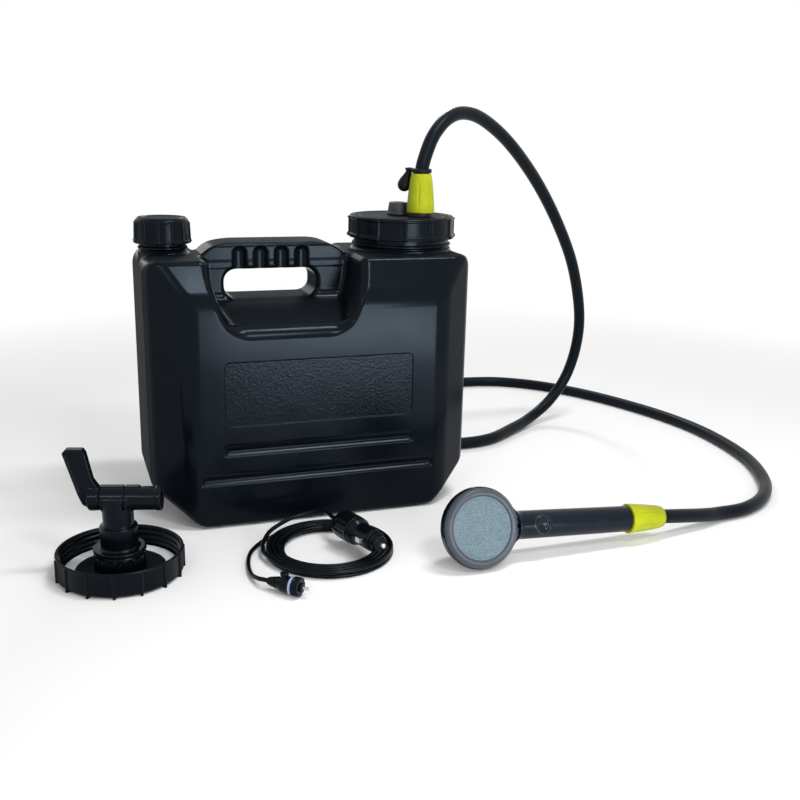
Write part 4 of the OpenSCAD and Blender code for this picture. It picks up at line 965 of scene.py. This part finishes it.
def build_car_plug():
    """Car plug: ribbed relief, grip with sunk lines, nose with its ring, metal tip."""
    along = CAR_PLUG @ turned((0, 0, 0), 0, 90, 0)
    r = CAR_PLUG_R
    outline = [
        (0, 0), (3.4, 0), (5.8, 10.6), (r - 3, 10.4), (r - 0.4, 14.2), (r, 20), (r, 35.4), (r - 0.9, 36),
        (r - 0.9, 37), (r - 0.2, 37.6), (r - 0.6, 40), (10.3, 44), (10.2, 62.6), (9.6, 63.2), (9.6, 64),
        (10.1, 64.6), (10, 66), (0, 66),
    ]
    outline = filled(rounded(outline, 0.9), 1)
    bands = ribs(count=10, width=3.2, height=0.45, low=17, high=34, soft=0.8)

    def swell(angle, radius, z):
        """Rings on the relief, then shallow lengthwise flutes on the grip."""
        rings = 0.45 * np.cos(z * math.pi / 1.2) * ((z > 1) & (z < 9))
        return rings - bands(angle, radius, z)

    dress(lathe("car_plug", outline, 168, along, swell), "carrier", "tap_plastic", "plug_body")
    ring = [
        (0, 66), (8.3, 66), (8.3, 67.4), (7.6, 67.8), (7.6, 68.6), (8, 69), (7.6, 72), (6.7, 74), (2.5, 74),
        (2.5, 70), (0, 70),
    ]
    dress(lathe("plug_nose_ring", rounded(ring, 0.5), 96, along), "carrier", "tap_plastic", "plug_ring")
    tip = [(0, 70), (2.4, 70), (2.4, 78.4), (1.6, 79.8), (0, 80)]
    dress(lathe("plug_tip_pin", rounded(tip, 0.5), 48, along), "plug_tip", "steel", "plug_tip")


def build_connector():
    """Waterproof connector: ribbed relief, body with a key knob, pale ring, notched lock nut and pin."""
    along = CONNECTOR @ turned((0, 0, 0), 0, 90, 0)
    r = CONNECTOR_R
    outline = [
        (0, 0), (2.9, 0), (5.2, 10.6), (5.4, 11.4), (r - 1.6, 14.4), (r - 1.4, 16), (r - 0.9, 22.6),
        (r - 1.3, 23), (4, 23), (4, 34.4), (0, 34.4),
    ]
    outline = filled(rounded(outline, 0.7), 0.7)

    def swell(angle, radius, z):
        """Rings of the bend relief."""
        return 0.6 * np.cos(z * math.pi / 1.2) * ((z > 1.2) & (z < 10))

    dress(lathe("connector_shell", outline, 96, along, swell), "carrier", "tap_plastic", "connector_body")
    knob = [
        (0, 0), (3.5, 0), (3.7, 3.8), (3.9, 4.2), (3.9, 5.6), (3.2, 6.2), (2.4, 6.2), (2, 5.6), (0, 5.5),
    ]
    at = CONNECTOR @ Matrix.Translation((16.6, 0, r - 3.6))
    dress(lathe("connector_knob", rounded(knob, 0.5), 48, at), "carrier", "tap_plastic")
    bore = 4.05
    ring = [
        (bore, 23), (r - 0.6, 23), (r - 0.4, 23.4), (r - 0.4, 24.9), (r - 0.6, 25.3), (bore, 25.3),
        (bore, 23),
    ]
    band = lathe("connector_band", rounded(ring, 0.3), 96, along)
    dress(band, "carrier", "pale_plastic", "connector_ring")
    nut = [
        (bore, 25.4), (r - 0.5, 25.4), (r, 26.2), (r, 31.4), (r - 0.7, 32.4), (bore, 32.4), (bore, 25.4),
    ]
    notches = ribs(count=8, width=2, height=-1, low=27, high=40, soft=0.4)
    lock = lathe("connector_lock", filled(rounded(nut, 0.5), 1), 192, along, notches)
    dress(lock, "connector_nut", "tap_plastic", "connector_nut")


# Pieces that stay as they are in the part, by their finish
KEPT = {
    "black_rubber": ["fill_cap_seal", "pump_lid_seal", "socket_gasket", "spigot_gasket", "shaft_seal",
                     "spray_gasket", "tap_washer", "tap_rings", "motor_brushes"],
    "pump_plastic": ["hose_spigot", "spigot_nut", "pump_cap", "pump_housing", "motor_cap", "impeller",
                     "inlet_plate", "strainer", "motor_magnets", "handset_barb"],
    "hose_rubber": ["inner_hose", "pump_cable"],
    "steel": ["socket_pin", "motor_can", "motor_shaft", "pump_screws", "button_spring", "tip_spring",
              "plug_contacts", "connector_pin"],
    "brass": ["socket_nut", "motor_bushes"],
    "copper": ["armature", "commutator"],
    "ceramic": ["plug_fuse"],
}


def dress_kept():
    """Gives the part's own nodes that stay their finish."""
    for slot, names in KEPT.items():
        for name in names:
            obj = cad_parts[name]
            obj.data.materials.clear()
            obj.data.materials.append(MATERIALS[slot])


# Stage: camera at the photo's angle, white floor, soft lamps

CAMERA_AT = (-0.2469088, -0.9889819, 0.3894962)
CAMERA_RIGHT = (0.9420220, -0.3347779, 0.0227658)
CAMERA_DOWN = (-0.0676875, -0.2560385, -0.9642939)
CAMERA_LOOK = (0.3286532, 0.9068451, -0.2638542)
CAMERA_LENS = 44.2274
CAMERA_SHIFT = (-0.000541, -0.006761)
WORLD_LIGHT = 0.45
FLOOR_GREY = 0.92
FLOOR_MIDDLE = (0.15, 0.05, 0)
FLOOR_FADE = (0.6, 1.1)

# Soft boxes: name, place, aim, width, height and power
LAMPS = [
    ("front_box", (0.16, -1.12, 1.15), (0.05, -0.08, 0.24), 0.32, 0.2, 4.6),
    ("side_box", (-0.75, -1.05, 0.8), (-0.05, 0, 0.2), 0.13, 0.13, 1.3),
    ("low_box", (0.2, -0.72, 0.065), (0.03, -0.08, 0.2), 0.42, 0.075, 1.6),
    ("lid_box", (0.15, -0.74, 0.2), (0.03, -0.05, 0.27), 0.28, 0.1, 1.4),
    ("top_box", (0.37, -0.35, 1.38), (0.37, -0.085, 0.08), 0.5, 0.14, 8),
    ("back_box", (0.4, 1.2, 1.1), (0.05, 0.08, 0.2), 0.26, 0.26, 5),
]


def build_camera():
    """Camera with the photo's place, turn and lens."""
    data = bpy.data.cameras.new("camera")
    data.sensor_width = 36
    data.lens = CAMERA_LENS
    data.shift_x, data.shift_y = CAMERA_SHIFT
    camera = bpy.data.objects.new("camera", data)
    bpy.context.scene.collection.objects.link(camera)
    columns = [Vector(CAMERA_RIGHT), -Vector(CAMERA_DOWN), -Vector(CAMERA_LOOK)]
    turn = Matrix(columns).transposed().to_4x4()
    camera.matrix_world = Matrix.Translation(CAMERA_AT) @ turn
    bpy.context.scene.camera = camera


def seen_white(tree):
    """A factor of 1 for rays from the camera, from gloss and through glass."""
    path = add_node(tree, "ShaderNodeLightPath", {})
    seen = worked(tree, "MAXIMUM", path.outputs["Is Camera Ray"], path.outputs["Is Glossy Ray"])
    return worked(tree, "MAXIMUM", seen, path.outputs["Is Transmission Ray"])


def build_world():
    """White world for the eye, dimmer as a light."""
    world = bpy.data.worlds.new("studio")
    bpy.context.scene.world = world
    world.use_nodes = True
    tree = world.node_tree
    background = tree.nodes["Background"]
    background.inputs["Color"].default_value = (1, 1, 1, 1)
    tree.links.new(spread(tree, seen_white(tree), WORLD_LIGHT, 1, 0, 1), background.inputs["Strength"])


def build_floor():
    """Pale floor that keeps the object's soft shadow and turns white further out."""
    bpy.ops.mesh.primitive_plane_add(size=12, location=(0, 0, 0))
    floor = bpy.context.object
    floor.name = "floor"
    material, tree, principled = shader("floor", [FLOOR_GREY] * 3, 0.9, specular=0.1)
    away = add_node(tree, "ShaderNodeVectorMath", {"operation": "DISTANCE"}, Vector=coordinate(tree))
    away.inputs[1].default_value = FLOOR_MIDDLE
    far = spread(tree, away.outputs["Value"], 0, 1, *FLOOR_FADE)
    white = add_node(tree, "ShaderNodeEmission", {"Color": (1, 1, 1, 1), "Strength": 1})
    mix = add_node(tree, "ShaderNodeMixShader", {}, Fac=worked(tree, "MULTIPLY", far, seen_white(tree)))
    tree.links.new(principled.outputs[0], mix.inputs[1])
    tree.links.new(white.outputs[0], mix.inputs[2])
    tree.links.new(mix.outputs[0], tree.nodes["Material Output"].inputs["Surface"])
    floor.data.materials.append(material)


def lamp(name, at, aim, width, height, power):
    """A soft box aimed at a point, out of the camera's sight."""
    data = bpy.data.lights.new(name, "AREA")
    data.shape = "RECTANGLE"
    data.size, data.size_y = width, height
    data.energy = power
    obj = bpy.data.objects.new(name, data)
    obj.location = at
    obj.rotation_mode = "QUATERNION"
    obj.rotation_quaternion = (Vector(aim) - Vector(at)).to_track_quat("-Z", "Y")
    obj.visible_camera = False
    bpy.context.scene.collection.objects.link(obj)


def build_stage():
    """Everything round the object."""
    build_camera()
    build_world()
    build_floor()
    for values in LAMPS:
        lamp(*values)
    bpy.context.scene.view_settings.view_transform = "Standard"


build_stage()
build_carrier()
build_pump_lid()
build_fill_cap()
build_tap_lid()
build_collars()
build_socket()
build_dust_plug()
build_handset()
build_tap()
build_car_plug()
build_connector()
build_hose()
build_lead()
dress_kept()
